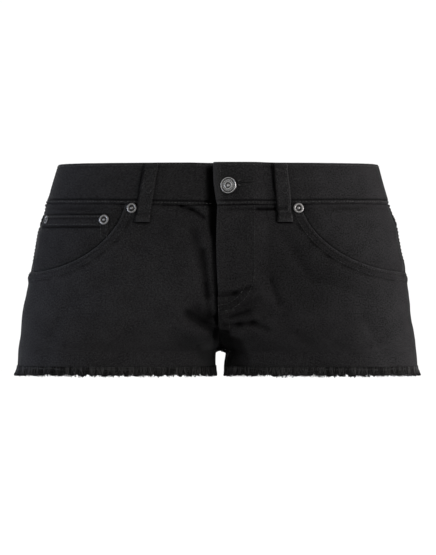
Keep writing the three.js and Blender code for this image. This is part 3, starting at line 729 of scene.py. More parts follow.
def loop_painted_shadow(x, drop):
    """Painted shadow that a front belt loop casts beside its right edge and under its lower end."""
    shade = np.zeros(np.broadcast(x, drop).shape)
    for _, xs, turn in LOOPS:
        if turn is None:
            from_middle = x - lerp(xs[0], xs[1], (drop - LOOP_TOP) / (LOOP_BOTTOM - LOOP_TOP))
            beside = hill(from_middle, -LOOP_WIDTH / 2 - 0.7, 1.0)
            beside = beside * (1 - smooth(drop, LOOP_BOTTOM, LOOP_BOTTOM + 2))
            below = hill(drop, LOOP_BOTTOM + 1.2, 1.0) * (np.abs(from_middle) < LOOP_WIDTH / 2 + 1)
            shade = np.maximum(shade, 0.95 * np.maximum(beside, below))
    return shade


# Front panels

FLY_EDGE = np.array([
    # drop, x of the lapping edge, before the drift of the crotch
    (34, 1.9),
    (50, 1.3),
    (74, 0.8),
    (98, 1.3),
    (121, 2.5),
    (138, 1.6),
    (158, 0),
], float)


def fly_edge_x(drop):
    return np.interp(drop, FLY_EDGE[:, 0], FLY_EDGE[:, 1])


def fly_line(out, drop, offset=0.0):
    """Millimetres inside the curved fly stitching, from the centre out."""
    bend = np.clip((drop - FLY_TURN_DROP) / (FLY_END_DROP - FLY_TURN_DROP), 0, 1)
    edge = (FLY_WIDTH - offset) * np.sqrt(np.maximum(1 - bend**2, 0))
    return edge - out


def front_height(side):
    def height(out, drop, around, tilt):
        edge = mouth_distance(side, out, drop, tilt)
        side_edge = (1 - around) * SIDE_RATE
        relief = seam(edge, MOUTH_RISE, MOUTH_BAND, MOUTH_STITCHES) + pucker(out + drop, edge, 6)
        relief = relief - 0.45 * hill(side_edge, 0, 1.0) + hem_wave(around, drop, 1.0 + side)
        relief = relief + pucker(drop, side_edge, 6) + under_waistband(out, drop)
        below_fly = smooth(drop, FLY_END_DROP - 16, FLY_END_DROP)
        relief = relief - 0.5 * hill(out, 0, 1.1) * below_fly
        if side > 0:
            lap = 1 - smooth(out, FLY_WIDTH - 1, FLY_WIDTH + 16)
            relief = relief + FLY_LAP_LIFT * lap * (1 - smooth(drop, 118, 158))
            inside_fly = smooth(fly_line(out, drop), -1.5, 1.5) * (1 - smooth(drop, FLY_END_DROP - 6, FLY_END_DROP))
            relief = relief + 0.35 * inside_fly
            relief = relief + below_fly * seam(out, 0.5, 11.5, BELOW_FLY_STITCHES)
            return relief
        crevice = 1 - smooth(drop, 152, 166)
        reach = lerp(13, 3.6, smooth(drop, 62, 104))
        from_edge = np.where(around < 0, 0, out)
        return relief - (2.8 + 1.0 * (1 - smooth(drop, 60, 110))) * crevice * (1 - smooth(from_edge, 0.2, reach))
    return height


def crotch_painted_shade(side, out, drop):
    """Painted shade under the crotch, where the pit between the legs lies in shadow: it reaches down the wearer's
    left leg.
    """
    if side < 0:
        reach = lerp(1.8, 5.0, smooth(drop, 160, 168))
        return (1 - smooth(out, reach, reach + 1.6)) * smooth(drop, 159, 162) * lerp(1, 0.1, smooth(drop, 173, 178))
    pit = (1 - smooth(out, 7.5, 13)) * smooth(drop, 158.5, 162)
    reach = 14 + 0.3 * (drop - 165)
    inner_leg = (1 - smooth(out, reach, reach + 12)) * smooth(drop, 163, 169) * lerp(0.7, 0.4, smooth(drop, 176, 188))
    return np.maximum(pit, inner_leg)


def wash_and_painted_shading(side, x, out, drop, fold):
    """Paler above 0 and darker below it: a little paler on ridges, as worn cloth is; painted shade in creases, under
    the crotch, beside and under the fly and below the waistband seam; painted light on the inner side of the wearer's
    right leg; and broad paler and darker patches.
    """
    # Painted shade in the creases; the ridges a little paler, as worn cloth is.
    crease_painted_shade = np.minimum(0.19 * np.maximum(-fold - 0.6, 0), 0.62)
    tone = 0.05 * np.maximum(fold, 0) - crease_painted_shade - crotch_painted_shade(side, out, drop)
    if side > 0:
        # A darker patch beside the fly's lower end.
        beside_stitches = hill(x, 18, 24) * hill(drop, 140, 13)
        # Painted shade in a line below the waistband seam, under the ridge of its layers.
        below_seam = hill(drop, 43.8, 0.9) * smooth(x, 4, 10) * (1 - smooth(x, 62, 66))
        below_seam = below_seam * lerp(0.3, 0.9, smooth(x, 20, 50))
        # A broad darker patch across the wearer's left front.
        return tone - 0.42 * hill(x, 85, 70) * hill(drop, 105, 60) - 0.4 * beside_stitches - below_seam
    # Painted shade beside the fly's edge, where the lap's shadow falls.
    reach = lerp(9.5, 3.0, smooth(drop, 54, 84))
    beside_fly = (1 - smooth(out, reach * 0.55, reach)) * (1 - smooth(drop, 152, 164))
    # Painted light on the inner side of the wearer's right leg by the gap, where the other leg shades it.
    inner_leg = hill(out, 7, 12) * smooth(drop, 166, 176)
    # Painted shade under the fly, in the wedge there.
    under_fly = hill(x, -9, 8) * hill(drop, 149, 8)
    tone = tone - 0.95 * beside_fly + 1.3 * inner_leg - 0.3 * under_fly
    # A broad paler patch low on the leg and a broad darker one nearer the waistband.
    return tone + 0.1 * hill(x, -70, 40) * hill(drop, 130, 35) - 0.2 * hill(x, -40, 40) * hill(drop, 62, 26)


def front_panel(side, name):
    columns = 150
    drops = panel_rows(WAIST_SEAM - 1.5, CLEFT_FRONT)
    share = np.linspace(0, 1, columns) ** COLUMNS_GRADING
    if side > 0:
        start = around_at(fly_edge_x(drops), drops)
    else:
        start = around_at(-FLY_UNDERLAP * (1 - smooth(drops, 140, 160)), drops)
    start = np.where(drops < 160, start, 0)
    around = lerp(start[:, None], 1.0, share[None, :])
    drop = np.repeat(drops[:, None], columns, axis=1)
    base, normal = skin(side, around, drop), skin_normal(side, around, drop)
    out = body(around, drop)[0]
    edge = mouth_distance(side, out, drop, tilt_of(normal))
    top = drop - waist_seam(base[..., 0]) + SEAM_TUCK
    # The pocket mouth: a paler worn edge, painted shade in the groove of its first stitches and along the band's
    # inner edge, and the band a little darker.
    wear_and_painted_shading = 0.5 * hill(edge, 0.3, 0.8) - 0.1 * hill(edge, 5.2, 2.4) - 0.4 * hill(edge, 2.4, 0.7)
    wear_and_painted_shading = wear_and_painted_shading - (0.28 + 0.2 * np.sin((out + drop) / 4.3)) * hill(edge, MOUTH_BAND, 1.1)
    # Painted shade in a line just below the waistband's edge, and the belt loops' painted shadows.
    wear_and_painted_shading = wear_and_painted_shading - 0.95 * hill(top, 0.8, 1.0) - loop_painted_shadow(base[..., 0], drop)
    # Painted shade along the hem's edge, where the frayed threads begin.
    wear_and_painted_shading = wear_and_painted_shading - (0.3 + 0.3 * np.sin(around * 31) * np.sin(around * 67)) * hill(HEM_DROP - drop, 0, 1.0)
    fold = fold_height(base[..., 0], np.zeros(drop.shape, bool), drop, around)
    wear_and_painted_shading = wear_and_painted_shading + wash_and_painted_shading(side, base[..., 0], out, drop, fold)
    if side > 0:
        wear_and_painted_shading = wear_and_painted_shading + 0.25 * hill(out, fly_edge_x(drop), 1.4) * (1 - smooth(drop, 120, 150))
    return cloth_piece(name, side, around, drop, front_height(side), keep=np.minimum(edge, top), wear_and_shading=wear_and_painted_shading,
                       flip=side < 0)


# Pocket facings and the coin pocket

def facing_height(side):
    def height(out, drop, around, tilt):
        edge = -mouth_distance(side, out, drop, tilt)
        side_edge = (1 - around) * SIDE_RATE
        inland = smooth(side_edge, 3, 22)
        relief = FACING_DEPTH * (1 - smooth(edge, 0.6, lerp(2.5, 13, inland)))
        relief = relief - 1.6 * hill(edge, -0.4, 2.0) * smooth(drop, 38, 46) * inland
        return relief + under_waistband(out, drop) - 0.45 * hill(side_edge, 0, 1.0)
    return height


def facing(side, name):
    columns, rows = 110, 70
    around_line, drop_line = mouth_line(side, FACING_MARGIN, columns)
    top = WAIST_SEAM - 1.5
    bottom = np.maximum(drop_line, top + FACING_MARGIN)
    drop = lerp(top, bottom[None, :], np.linspace(0, 1, rows)[:, None])
    around = np.repeat(around_line[None, :], rows, axis=0)
    out = body(around, drop)[0]
    keep = drop - waist_seam(out) + SEAM_TUCK
    # Darker overall, with painted shade in a line just below the waistband's edge and a softer line lower down.
    wear_and_painted_shading = -0.16 - 0.9 * hill(keep, 0.8, 1.0) - 0.35 * hill(keep, 6.5, 2.0) * (0.6 + 0.4 * np.sin(out / 9))
    if side < 0:
        over_pocket = smooth(out, COIN_INNER_X - 1, COIN_INNER_X + 1)
        over_pocket = over_pocket * (1 - smooth(out, COIN_OUTER_X - 1, COIN_OUTER_X + 1))
        # Painted shade in a line along the coin pocket's top edge.
        wear_and_painted_shading = wear_and_painted_shading - 0.8 * hill(drop, COIN_TOP - 0.8, 1.0) * over_pocket
    return cloth_piece(name, side, around, drop, facing_height(side), thickness=1.1, keep=keep, wear_and_shading=wear_and_painted_shading,
                       flip=side < 0)


def coin_distance(out, drop, tilt):
    """Millimetres inside the coin pocket's top and side edges."""
    outer_x = COIN_OUTER_X * section_at(drop)[0] / half_width_at(COIN_TOP)
    return np.minimum(np.minimum(drop - COIN_TOP, (out - COIN_INNER_X) * 1.05), (outer_x - out) / tilt)


def coin_height(out, drop, around, tilt):
    edge = coin_distance(out, drop, tilt)
    down = drop - COIN_TOP
    relief = facing_height(-1)(out, drop, around, tilt) + 1.15
    hem = 0.55 * (1 - smooth(down, COIN_HEM - 0.7, COIN_HEM + 0.9))
    upper, lower = COIN_HEM_STITCHES
    lines = hill(down, upper, 0.8) + hill(down, lower, 0.8) + hill(out - COIN_INNER_X, 1.8, 0.8)
    return relief + hem - 0.2 * lines - 0.45 * hill(edge, 0, 0.8) + pucker(out, np.abs(down - 5), 6)


def coin_pocket():
    drops = np.arange(COIN_TOP - 1, MOUTH_END_DROP, 1.0)
    outs = np.linspace(around_at(COIN_INNER_X - 2.0, 70.0), around_at(COIN_OUTER_X + 0.8, COIN_TOP), 110)
    around, drop = np.meshgrid(outs, drops)
    normal = skin_normal(-1, around, drop)
    tilt = np.maximum(np.abs(normal[..., 1]) / np.hypot(normal[..., 0], normal[..., 1]), 0.15)
    out = body(around, drop)[0]
    under_front = -mouth_distance(-1, out, drop, tilt) - 1.3
    keep = np.minimum(coin_distance(out, drop, tilt), under_front)
    # Darker overall, a paler worn edge, and a darker line within the hem band.
    wear_and_painted_shading = -0.16 + 0.3 * hill(coin_distance(out, drop, tilt), 0.3, 0.9) - 0.45 * hill(drop, COIN_TOP + 3.4, 0.8)
    # Painted shade in a line under the hem band's lower edge.
    wear_and_painted_shading = wear_and_painted_shading - 0.85 * hill(drop, COIN_TOP + COIN_HEM + 0.9, 1.0) * smooth(out, 106, 112)
    return cloth_piece("coin_pocket", -1, around, drop, coin_height, thickness=1.0, keep=keep, wear_and_shading=wear_and_painted_shading, flip=True)


# The strip behind the fly

def shield_height(out, drop, around, tilt):
    return np.full(out.shape, -CLOTH - 4.2)


def fly_shield():
    drops = np.linspace(WAIST_SEAM, 132, 50)
    xs = np.linspace(0, 1, 40)
    narrowing = 10 * smooth(drops, 107, 132)
    x = lerp((-20 + narrowing / 2)[:, None], (34 - narrowing)[:, None], xs[None, :])
    drop = np.repeat(drops[:, None], len(xs), axis=1)
    side = np.where(x < 0, -1.0, 1.0)
    return cloth_piece("fly_shield", side, around_at(np.abs(x), drop), drop, shield_height)


# Back panels, yokes and back pockets

def yoke_drop(around):
    return lerp(YOKE_SIDE_DROP, YOKE_CENTRE_DROP, around - 1)


def seat_edge(out, side):
    """Relief beside the centre back seam: the left side laps over the right."""
    if side > 0:
        return seam(out, 0.55, LAPPED_SEAM_WIDTH, LAPPED_SEAM_STITCHES) + pucker(out, out, 5)
    return -0.3 * hill(out, 0, 1.2)


def back_height(side):
    def height(out, drop, around, tilt):
        below_yoke = drop - yoke_drop(around)
        side_edge = (around - 1) * SIDE_RATE
        relief = seat_edge(out, side) + hem_wave(around, drop, 2.5 - side)
        relief = relief - 0.5 * hill(below_yoke, 0, 1.0) + pucker(out, np.abs(below_yoke), 6)
        relief = relief + seam(side_edge, 0.35, 7, (SIDE_STITCH,)) * (1 - smooth(drop, 92, 100))
        return relief + pucker(drop, side_edge, 6)
    return height


def back_panel(side, name):
    columns = 150
    rows = panel_rows(YOKE_CENTRE_DROP, CLEFT_BACK)
    around_line = 2 - np.linspace(0, 1, columns)[::-1] ** COLUMNS_GRADING
    level = (rows - rows[0]) / (rows[-1] - rows[0])
    side_drops = lerp(YOKE_SIDE_DROP, HEM_DROP, level)
    toward_side = (2 - around_line)[None, :]
    drop = lerp(rows[:, None], side_drops[:, None], toward_side)
    around = np.repeat(around_line[None, :], len(rows), axis=0)
    out = body(around, drop)[0]
    wear_and_painted_shading = 0.5 * hill(drop - yoke_drop(around), 1, 2) + 0.35 * hill(HEM_DROP - drop, 0, 3)
    wear_and_painted_shading = wear_and_painted_shading + (0.5 * hill(out, 0.5, 1.8) if side > 0 else 0) + 0.4 * hill((around - 1) * SIDE_RATE, 1, 2)
    base = skin(side, around, drop)
    fold = fold_height(base[..., 0], np.ones(drop.shape, bool), drop, around)
    # Painted shade in the creases; the ridges a little paler, as worn cloth is.
    wear_and_painted_shading = wear_and_painted_shading + 0.05 * np.maximum(fold, 0) - np.minimum(0.12 * np.maximum(-fold - 0.6, 0), 0.4)
    # Painted shade under the crotch.
    wear_and_painted_shading = wear_and_painted_shading - 0.9 * (1 - smooth(out, 8, 22)) * smooth(drop, 166, 176)
    return cloth_piece(name, side, around, drop, back_height(side), wear_and_shading=wear_and_painted_shading, flip=side < 0)


def yoke_height(side):
    def height(out, drop, around, tilt):
        above_seam = yoke_drop(around) - drop
        relief = seam(above_seam, 0.55, LAPPED_SEAM_WIDTH, LAPPED_SEAM_STITCHES) + seat_edge(out, side)
        relief = relief + pucker(out, above_seam, 6) + under_waistband(out + BEHIND_X, drop)
        return relief + seam((around - 1) * SIDE_RATE, 0.35, 7, (SIDE_STITCH,))
    return height


def yoke(side, name):
    columns, rows = 150, 34
    around_line = 2 - np.linspace(0, 1, columns)[::-1] ** COLUMNS_GRADING
    top = np.full(columns, WAIST_SEAM - SEAM_TUCK)
    drop = lerp(top[None, :], yoke_drop(around_line)[None, :], np.linspace(0, 1, rows)[:, None])
    around = np.repeat(around_line[None, :], rows, axis=0)
    out = body(around, drop)[0]
    wear_and_painted_shading = 0.6 * hill(yoke_drop(around) - drop, 0.4, 1.6) + 0.35 * hill(yoke_drop(around) - drop, 5, 2.5)
    wear_and_painted_shading = wear_and_painted_shading + (0.5 * hill(out, 0.5, 1.8) if side > 0 else 0)
    return cloth_piece(name, side, around, drop, yoke_height(side), wear_and_shading=wear_and_painted_shading, flip=side < 0)


def pocket_corners():
    p = BACK_POCKET
    return np.array([
        (p["inner"], p["inner_top"]), (p["outer"], p["top"]), (p["outer"] - p["taper"], p["side"]),
        ((p["inner"] + p["outer"]) / 2, p["point"]), (p["inner"] + p["taper"], p["side"]),
    ], float)


def pocket_distance(out, drop):
    """Millimetres inside the back pocket's outline, seen flat."""
    corners = pocket_corners()
    distances = []
    for start, end in zip(corners, np.roll(corners, -1, axis=0)):
        along = (end - start) / np.linalg.norm(end - start)
        distances.append(along[0] * (drop - start[1]) - along[1] * (out - start[0]))
    return np.min(distances, axis=0)


def pocket_height(out, drop, around, tilt):
    edge = pocket_distance(out, drop)
    corners = pocket_corners()
    down = drop - lerp(corners[0, 1], corners[1, 1], (out - corners[0, 0]) / (corners[1, 0] - corners[0, 0]))
    relief = 1.5 + 0.9 * smooth(edge, 8, 30) * (1 - smooth(down, 20, 60))
    hem = 0.5 * (1 - smooth(down, 14, 16)) - 0.2 * hill(down, 13, 0.8)
    lines = hill(edge, BACK_POCKET_STITCHES[0], 0.8) + hill(edge, BACK_POCKET_STITCHES[1], 0.8)
    wide = 0.6 * (1 - smooth(edge, 9, 10.5))
    return relief + hem + wide - 0.2 * lines - 0.5 * hill(edge, 0, 0.8) + pucker(out + drop, edge, 7)


def back_pocket(side, name):
    p = BACK_POCKET
    drops = np.arange(p["top"] - 2, p["point"] + 2, 1.0)
    ends = around_at(np.array([p["outer"] + 5.0, p["inner"] - 2.0]), 120.0, True)
    around, drop = np.meshgrid(np.linspace(ends[0], ends[1], 116), drops)
    out = body(around, drop)[0]
    keep = pocket_distance(out, drop)
    wear_and_painted_shading = 0.8 * hill(keep, 0.3, 1.6) + 0.3 * hill(keep, 5, 2.5)
    return cloth_piece(name, side, around, drop, pocket_height, thickness=1.1, keep=keep, wear_and_shading=wear_and_painted_shading,
                       flip=side < 0)


# Waistband and belt loops

def place_at_turn(turn):
    """side and around for a turn: 0 centre front, 1 left side, 2 centre back, 3 right side, 4 the front again."""
    wrapped = (turn + 2) % 4 - 2
    return np.where(wrapped < 0, -1.0, 1.0), np.abs(wrapped)


def turn_at_x(x, drop=18.0):
    return np.sign(x) * around_at(np.abs(x), drop)


def waistband_turns(drop):
    """The first and last turn of the waistband at a drop: its left end lies on its right end."""
    down = drop / (WAIST_SEAM + WAIST_SEAM_DIP)
    edge_x = lerp(LAP_EDGE_TOP_X, LAP_EDGE_BOTTOM_X, down) - 1.1 * np.sin(math.pi * down)
    return turn_at_x(edge_x), np.full(drop.shape, 4 + turn_at_x(np.array(float(UNDERLAP_X))))


def waistband_grid(columns, rows):
    down = np.linspace(0, 1, rows)
    drop0 = down * (WAIST_SEAM + WAIST_SEAM_DIP)
    first, last = waistband_turns(drop0)
    share = np.linspace(0, 1, columns)
    turn = lerp(first[:, None], last[:, None], share[None, :])
    side, around = place_at_turn(turn)
    x = side * body(around, np.full(turn.shape, 20.0))[0]
    front_x = np.where(around < 1, x, BEHIND_X)
    return turn, side, around, down[:, None] * waist_seam(front_x)


def waistband_relief(turn, drop):
    """Height of the waistband's outer face over the skin. The turn says which of the lapped ends it is."""
    side, around = place_at_turn(turn)
    x = side * body(around, drop)[0]
    bottom = waist_seam(np.where(around < 1, x, BEHIND_X))
    on_lap = turn < 1
    lap = LAP_LIFT * (1 - smooth(x, LAP_FLAT_X, LAP_JOIN_X)) * on_lap
    last_stretch = (turn > 3) & (around < 1)
    sunk = 3.0 * smooth(turn, 4 + turn_at_x(np.array(-26.0)), 4 + turn_at_x(np.array(-4.0))) * last_stretch
    relief = WAISTBAND_HEIGHT + lap - sunk
    relief = relief - 0.25 * hill(drop, TOP_STITCH, 0.9) - 0.3 * hill(bottom - drop, SEAM_STITCH_RISE, 0.9)
    relief = relief + 0.35 * smooth(bottom - drop, 2.0, 4.0) - 0.35 - 0.35 * hill(drop, 0, 1.2)
    first, _ = waistband_turns(drop)
    from_end = np.abs(turn - first) * WAIST_RATE
    relief = relief - 0.25 * hill(from_end, LAP_STITCH, 0.9) * on_lap - 0.5 * hill(from_end, 0, 1.0) * on_lap
    length = turn * WAIST_RATE
    relief = relief + pucker(length, drop, 7) + pucker(length + 40, bottom - drop, 7)
    from_button = np.hypot(x - BUTTON_X + 1, (drop - BUTTON_DROP) * 0.9)
    relief = relief + (0.5 - 1.5 * hill(from_button, 0, 10)) * on_lap * (1 - smooth(x, 24, 60))
    slit = smooth(x, SLIT_START_X - 1, SLIT_START_X + 1) * (1 - smooth(x, SLIT_END_X - 3, SLIT_END_X + 1))
    relief = relief - 0.9 * hill(drop, SLIT_DROP, 0.8) * slit * on_lap
    long_dent = hill(drop, 23 - 0.02 * x, 2.0) * smooth(x, 84, 100) * (1 - smooth(x, 138, 152))
    return relief - 0.35 * long_dent * (around < 1)


def waistband():
    turn, side, around, drop = waistband_grid(430, 26)

    def height(out, drops, arounds, tilt):
        return waistband_relief(turn, drops)

    x = side * body(around, drop)[0]
    front_x = np.where(around < 1, x, BEHIND_X)
    bottom = waist_seam(front_x)
    wear_and_painted_shading = 0.6 * hill(drop, 0.3, 1.4) + 0.95 * hill(np.abs(turn - turn[:, :1]) * WAIST_RATE, 0.6, 1.3)
    # Painted shade in the groove above the lower stitches, and the belt loops' painted shadows.
    wear_and_painted_shading = wear_and_painted_shading - 0.12 - 0.75 * hill(drop, bottom - SEAM_STITCH_RISE - 1.7, 1.0) - loop_painted_shadow(front_x, drop)
    wear_and_painted_shading = wear_and_painted_shading + 0.8 * hill(drop, bottom - 0.5, 1.0) * (1 - smooth(x, 8, 22)) * (turn < 1)
    # Painted shadow that the lapped end casts on the end beneath it, and painted shade in the buttonhole's slit.
    lap_painted_shadow = smooth(x, -10.5, -7.0) * (1 - smooth(x, 2, 5)) * smooth(drop, 0, 7) * ((turn > 3) & (around < 1))
    in_slit = hill(drop, SLIT_DROP, 0.7) * smooth(x, SLIT_START_X, SLIT_START_X + 2)
    in_slit = in_slit * (1 - smooth(x, SLIT_END_X - 4, SLIT_END_X))
    wear_and_painted_shading = wear_and_painted_shading - 1.0 * lap_painted_shadow - 0.9 * in_slit * (turn < 1)
    return cloth_piece("waistband", side, around, drop, height, thickness=WAISTBAND_THICKNESS, wear_and_shading=wear_and_painted_shading)


def rate_at(turn, drop):
    """Millimetres round the body for each unit of turn."""
    step = 0.03
    ends = [skin(*place_at_turn(turn + s * step), drop) for s in (-1, 1)]
    return np.linalg.norm(ends[1] - ends[0], axis=-1) / (2 * step)


def loop_middle(xs, turn, drop):
    """The turn of a loop's middle line at each drop."""
    down = (drop - LOOP_TOP) / (LOOP_BOTTOM - LOOP_TOP)
    if turn is not None:
        return np.full(drop.shape, float(turn))
    x = lerp(xs[0], xs[1], down)
    return np.sign(x) * around_at(np.abs(x), drop)


def loop_relief(across, drop):
    """Height of a loop's outer face over the skin. across is -1 to 1."""
    seat = (WAISTBAND_HEIGHT + 0.2) * (1 - smooth(drop, WAIST_SEAM - 1, WAIST_SEAM + 8)) + 0.2
    top_fold = 1.5 * (1 - smooth(drop, 4.2, 6.0)) - 0.9 * hill(drop, LOOP_TOP, 1.5)
    bottom_fold = 1.7 * smooth(drop, 47.5, 49.5) - 0.9 * hill(drop, LOOP_BOTTOM, 1.4)
    bow = 1.5 * np.sin(math.pi * np.clip((drop - 7) / 41, 0, 1)) ** 0.8
    tacked = -0.5 * hill(drop, LOOP_TACKS[0], 1.2) - 0.5 * hill(drop, LOOP_TACKS[1], 1.0)
    edges = -0.35 * np.abs(across) ** 6 - 0.18 * hill(np.abs(across), 0.62, 0.12)
    lumps = 0.14 * np.sin(drop / 3.7 - 2 * across + 1) * (1 - 0.5 * np.abs(across))
    lumps = 0.16 * np.sin(drop / 2.1 + 3 * across) + lumps
    return seat + 1.9 + top_fold + bottom_fold + bow + tacked + edges + lumps


def belt_loop(name, xs, turn):
    rows, columns = 76, 19
    drop = np.repeat(np.linspace(LOOP_TOP, LOOP_BOTTOM, rows)[:, None], columns, axis=1)
    across = np.linspace(-1, 1, columns)[None, :] * np.ones((rows, 1))
    wide = LOOP_WIDTH / 2 * (1 + 0.07 * smooth(drop, 47.5, 50) - 0.03 * np.sin(drop / 6))
    middle = loop_middle(xs, turn, drop)
    turns = middle + across * wide / rate_at(middle, drop)
    side, around = place_at_turn(turns)

    def height(out, drops, arounds, tilt):
        return loop_relief(across, drops)

    # Painted light along the edge at across 1 and painted shade along the edge at across -1, as a lamp to that side
    # would give.
    wear_and_painted_shading = 0.2 * hill(across, 0.97, 0.12) - 0.9 * hill(across, -1, 0.16) + 0.4 * hill(drop, LOOP_BOTTOM, 1.2)
    wear_and_painted_shading = wear_and_painted_shading + 0.4 * hill(drop, LOOP_TOP, 1.5) + 0.2 * hill(drop, 53, 2) - 0.3 * hill(drop, 49, 1.0)
    wear_and_painted_shading = wear_and_painted_shading + 0.1 * np.sin(drop / 2.1 + 3 * across) * np.sin(drop / 5.0 + 4 * across)
    return cloth_piece(name, side, around, drop, height, thickness=1.7, wear_and_shading=wear_and_painted_shading)


# Stitching

def stitch_run(points, normals, pitch=3.3, gap=0.8, radius=0.33):
    """Stitches along a line on the cloth: each one a thread that rises from one hole and dives into the next."""
    steps = np.linalg.norm(np.diff(points, axis=0), axis=1)
    length = np.concatenate([[0], np.cumsum(steps)])
    count = max(int(length[-1] / pitch), 1)
    start = (np.arange(count) + 0.5 * gap / pitch) * (length[-1] / count)
    reach = length[-1] / count - gap
    share = np.array([0.0, 0.14, 0.5, 0.86, 1.0])
    along = start[:, None] + reach * share[None, :] * rng.uniform(0.93, 1.03, (count, 1))
    centres = np.stack([np.interp(along, length, points[:, k]) for k in range(3)], -1)
    out = unit(np.stack([np.interp(along, length, normals[:, k]) for k in range(3)], -1))
    rise = np.array([-0.45, 0.1, 0.3, 0.1, -0.45]) * radius / 0.33
    centres = centres + out * rise[None, :, None]
    thin = radius * np.array([0.55, 1, 1.08, 1, 0.55])
    return centres, out, np.repeat(thin[None, :], count, axis=0)


def bar_tack(side, around, drop, height, wide, tall, slope=0.0):
    """A short block of close stitches, wide round the body and tall down it."""
    count = int(wide / 0.62)
    offsets = np.linspace(-wide / 2, wide / 2, count)
    turn = np.asarray(side) * np.asarray(around)
    rate = rate_at(turn, np.asarray(float(drop)))
    turns = turn + offsets / rate
    middles = drop + slope * offsets
    drops = middles[:, None] + tall / 2 * np.array([-1.0, -0.6, 0.0, 0.6, 1.0])[None, :]
    drops = drops + np.where(np.arange(count) % 2, 0.2, -0.2)[:, None]
    sides, arounds = place_at_turn(np.repeat(turns[:, None], 5, axis=1))
    centres, out = lay(sides, arounds, drops, height)
    centres = centres + out * np.array([-0.4, 0.15, 0.32, 0.15, -0.4])[None, :, None]
    return centres, out, np.full(drops.shape, 0.34)


class Sewing:
    """Collects runs of stitches for one object."""

    def __init__(self, tone=0.4):
        self.parts, self.tones, self.tone = [], [], tone

    def add(self, run, sides=6):
        centres, out, radius = run
        points, faces = tubes(centres, out, radius, sides)
        self.parts.append((points, faces))
        tone = np.clip(rng.normal(self.tone, 0.18, len(centres)), 0, 1)
        self.tones.append(np.repeat(tone, centres.shape[1] * sides))

    def line(self, side, around, drop, height, **options):
        points, normals = lay(side, around, drop, height)
        self.add(stitch_run(points, normals, **options))

    def make(self, name):
        points, faces = join(self.parts)
        return add_object(name, points, faces, MATERIALS["stitch"], tone_of(np.concatenate(self.tones)))


def sew_front(side, name):
    sewing = Sewing(0.1)
    height = front_height(side)
    for grow in MOUTH_STITCHES:
        around, drop = mouth_line(side, grow)
        sewing.line(side, around, drop, height)
    end_drop = 158.0
    sewing.tone = 0.06
    if side > 0:
        for offset in (0.0, 6.0):
            bend = np.linspace(0, 1, 60)
            straight = np.linspace(waist_seam(30.0) + 0.5, FLY_TURN_DROP, 50)
            curve = FLY_TURN_DROP + (FLY_END_DROP - offset - FLY_TURN_DROP) * np.sin(bend * math.pi / 2)
            curve_x = (FLY_WIDTH - offset) * np.cos(bend * math.pi / 2) + 0.4
            drop = np.concatenate([straight, curve[1:]])
            x = np.concatenate([np.full(50, FLY_WIDTH - offset + 0.4), curve_x[1:]])
            sewing.tone = 0.08
            sewing.line(1, around_at(x[:60], drop[:60]), drop[:60], height)
            sewing.tone = 0.32
            sewing.line(1, around_at(x[60:], drop[60:]), drop[60:], height)
        sewing.tone = 0.06
        for offset in BELOW_FLY_STITCHES:
            drop = np.linspace(FLY_END_DROP - 14, end_drop, 40)
            sewing.line(1, around_at(np.full(40, offset), drop), drop, height)
        sewing.add(bar_tack(1, around_at(6.0, 129.0), 129.0, height, 8.0, 2.4))
        sewing.add(bar_tack(1, around_at(10.0, 141.0), 141.0, height, 14.0, 2.4, slope=-0.25))
    return sewing.make("stitching_" + name)


def sew_back(side, name):
    sewing = Sewing()
    height, upper = back_height(side), yoke_height(side)
    around = np.linspace(1.01, 1.995, 140)
    for offset in LAPPED_SEAM_STITCHES:
        sewing.line(side, around, yoke_drop(around) - offset, upper)
    drop = np.linspace(YOKE_CENTRE_DROP + 1, 168, 80)
    if side > 0:
        for offset in LAPPED_SEAM_STITCHES:
            sewing.line(side, around_at(np.full(80, offset), drop, True), drop, height)
            high = np.linspace(WAIST_SEAM + 1, YOKE_CENTRE_DROP - 1, 40)
            sewing.line(side, around_at(np.full(40, offset), high, True), high, upper)
    beside_seam = 1 + SIDE_STITCH / SIDE_RATE
    high = np.linspace(WAIST_SEAM + 1, YOKE_SIDE_DROP - 1, 30)
    low = np.linspace(YOKE_SIDE_DROP + 1, 94, 40)
    sewing.line(side, np.full(30, beside_seam), high, upper)
    sewing.line(side, np.full(40, beside_seam), low, height)
    return sewing.make("stitching_" + name)


def sew_back_pocket(side, name):
    sewing = Sewing()
    corners = pocket_corners()
    middle = corners.mean(axis=0)
    for inset in BACK_POCKET_STITCHES:
        shrunk = middle + (corners - middle) * (1 - inset / 42)
        shrunk[:2] += np.array([[0, -inset * 0.45], [0, -inset * 0.45]])
        for start, end in ((1, 2), (2, 3), (3, 4), (4, 0)):
            x, drop = np.linspace(shrunk[start], shrunk[end], 40).T
            sewing.line(side, around_at(x, drop, True), drop, pocket_height)
    for down in (2.0, 13.0):
        x, drop = np.linspace(corners[0] + (2, down), corners[1] + (-2, down), 50).T
        sewing.line(side, around_at(x, drop, True), drop, pocket_height)
    return sewing.make("stitching_" + name)


def sew_coin_pocket():
    sewing = Sewing()
    for down in COIN_HEM_STITCHES:
        x = np.linspace(COIN_INNER_X + 1.5, COIN_OUTER_X - 2, 60)
        drop = np.full(60, COIN_TOP + down)
        sewing.line(-1, around_at(x, drop), drop, coin_height)
    drop = np.linspace(COIN_TOP + 1.5, 71, 30)
    for inset in (1.8, 6.6):
        sewing.line(-1, around_at(np.full(30, COIN_INNER_X + inset), drop), drop, coin_height)
    return sewing.make("stitching_coin_pocket")


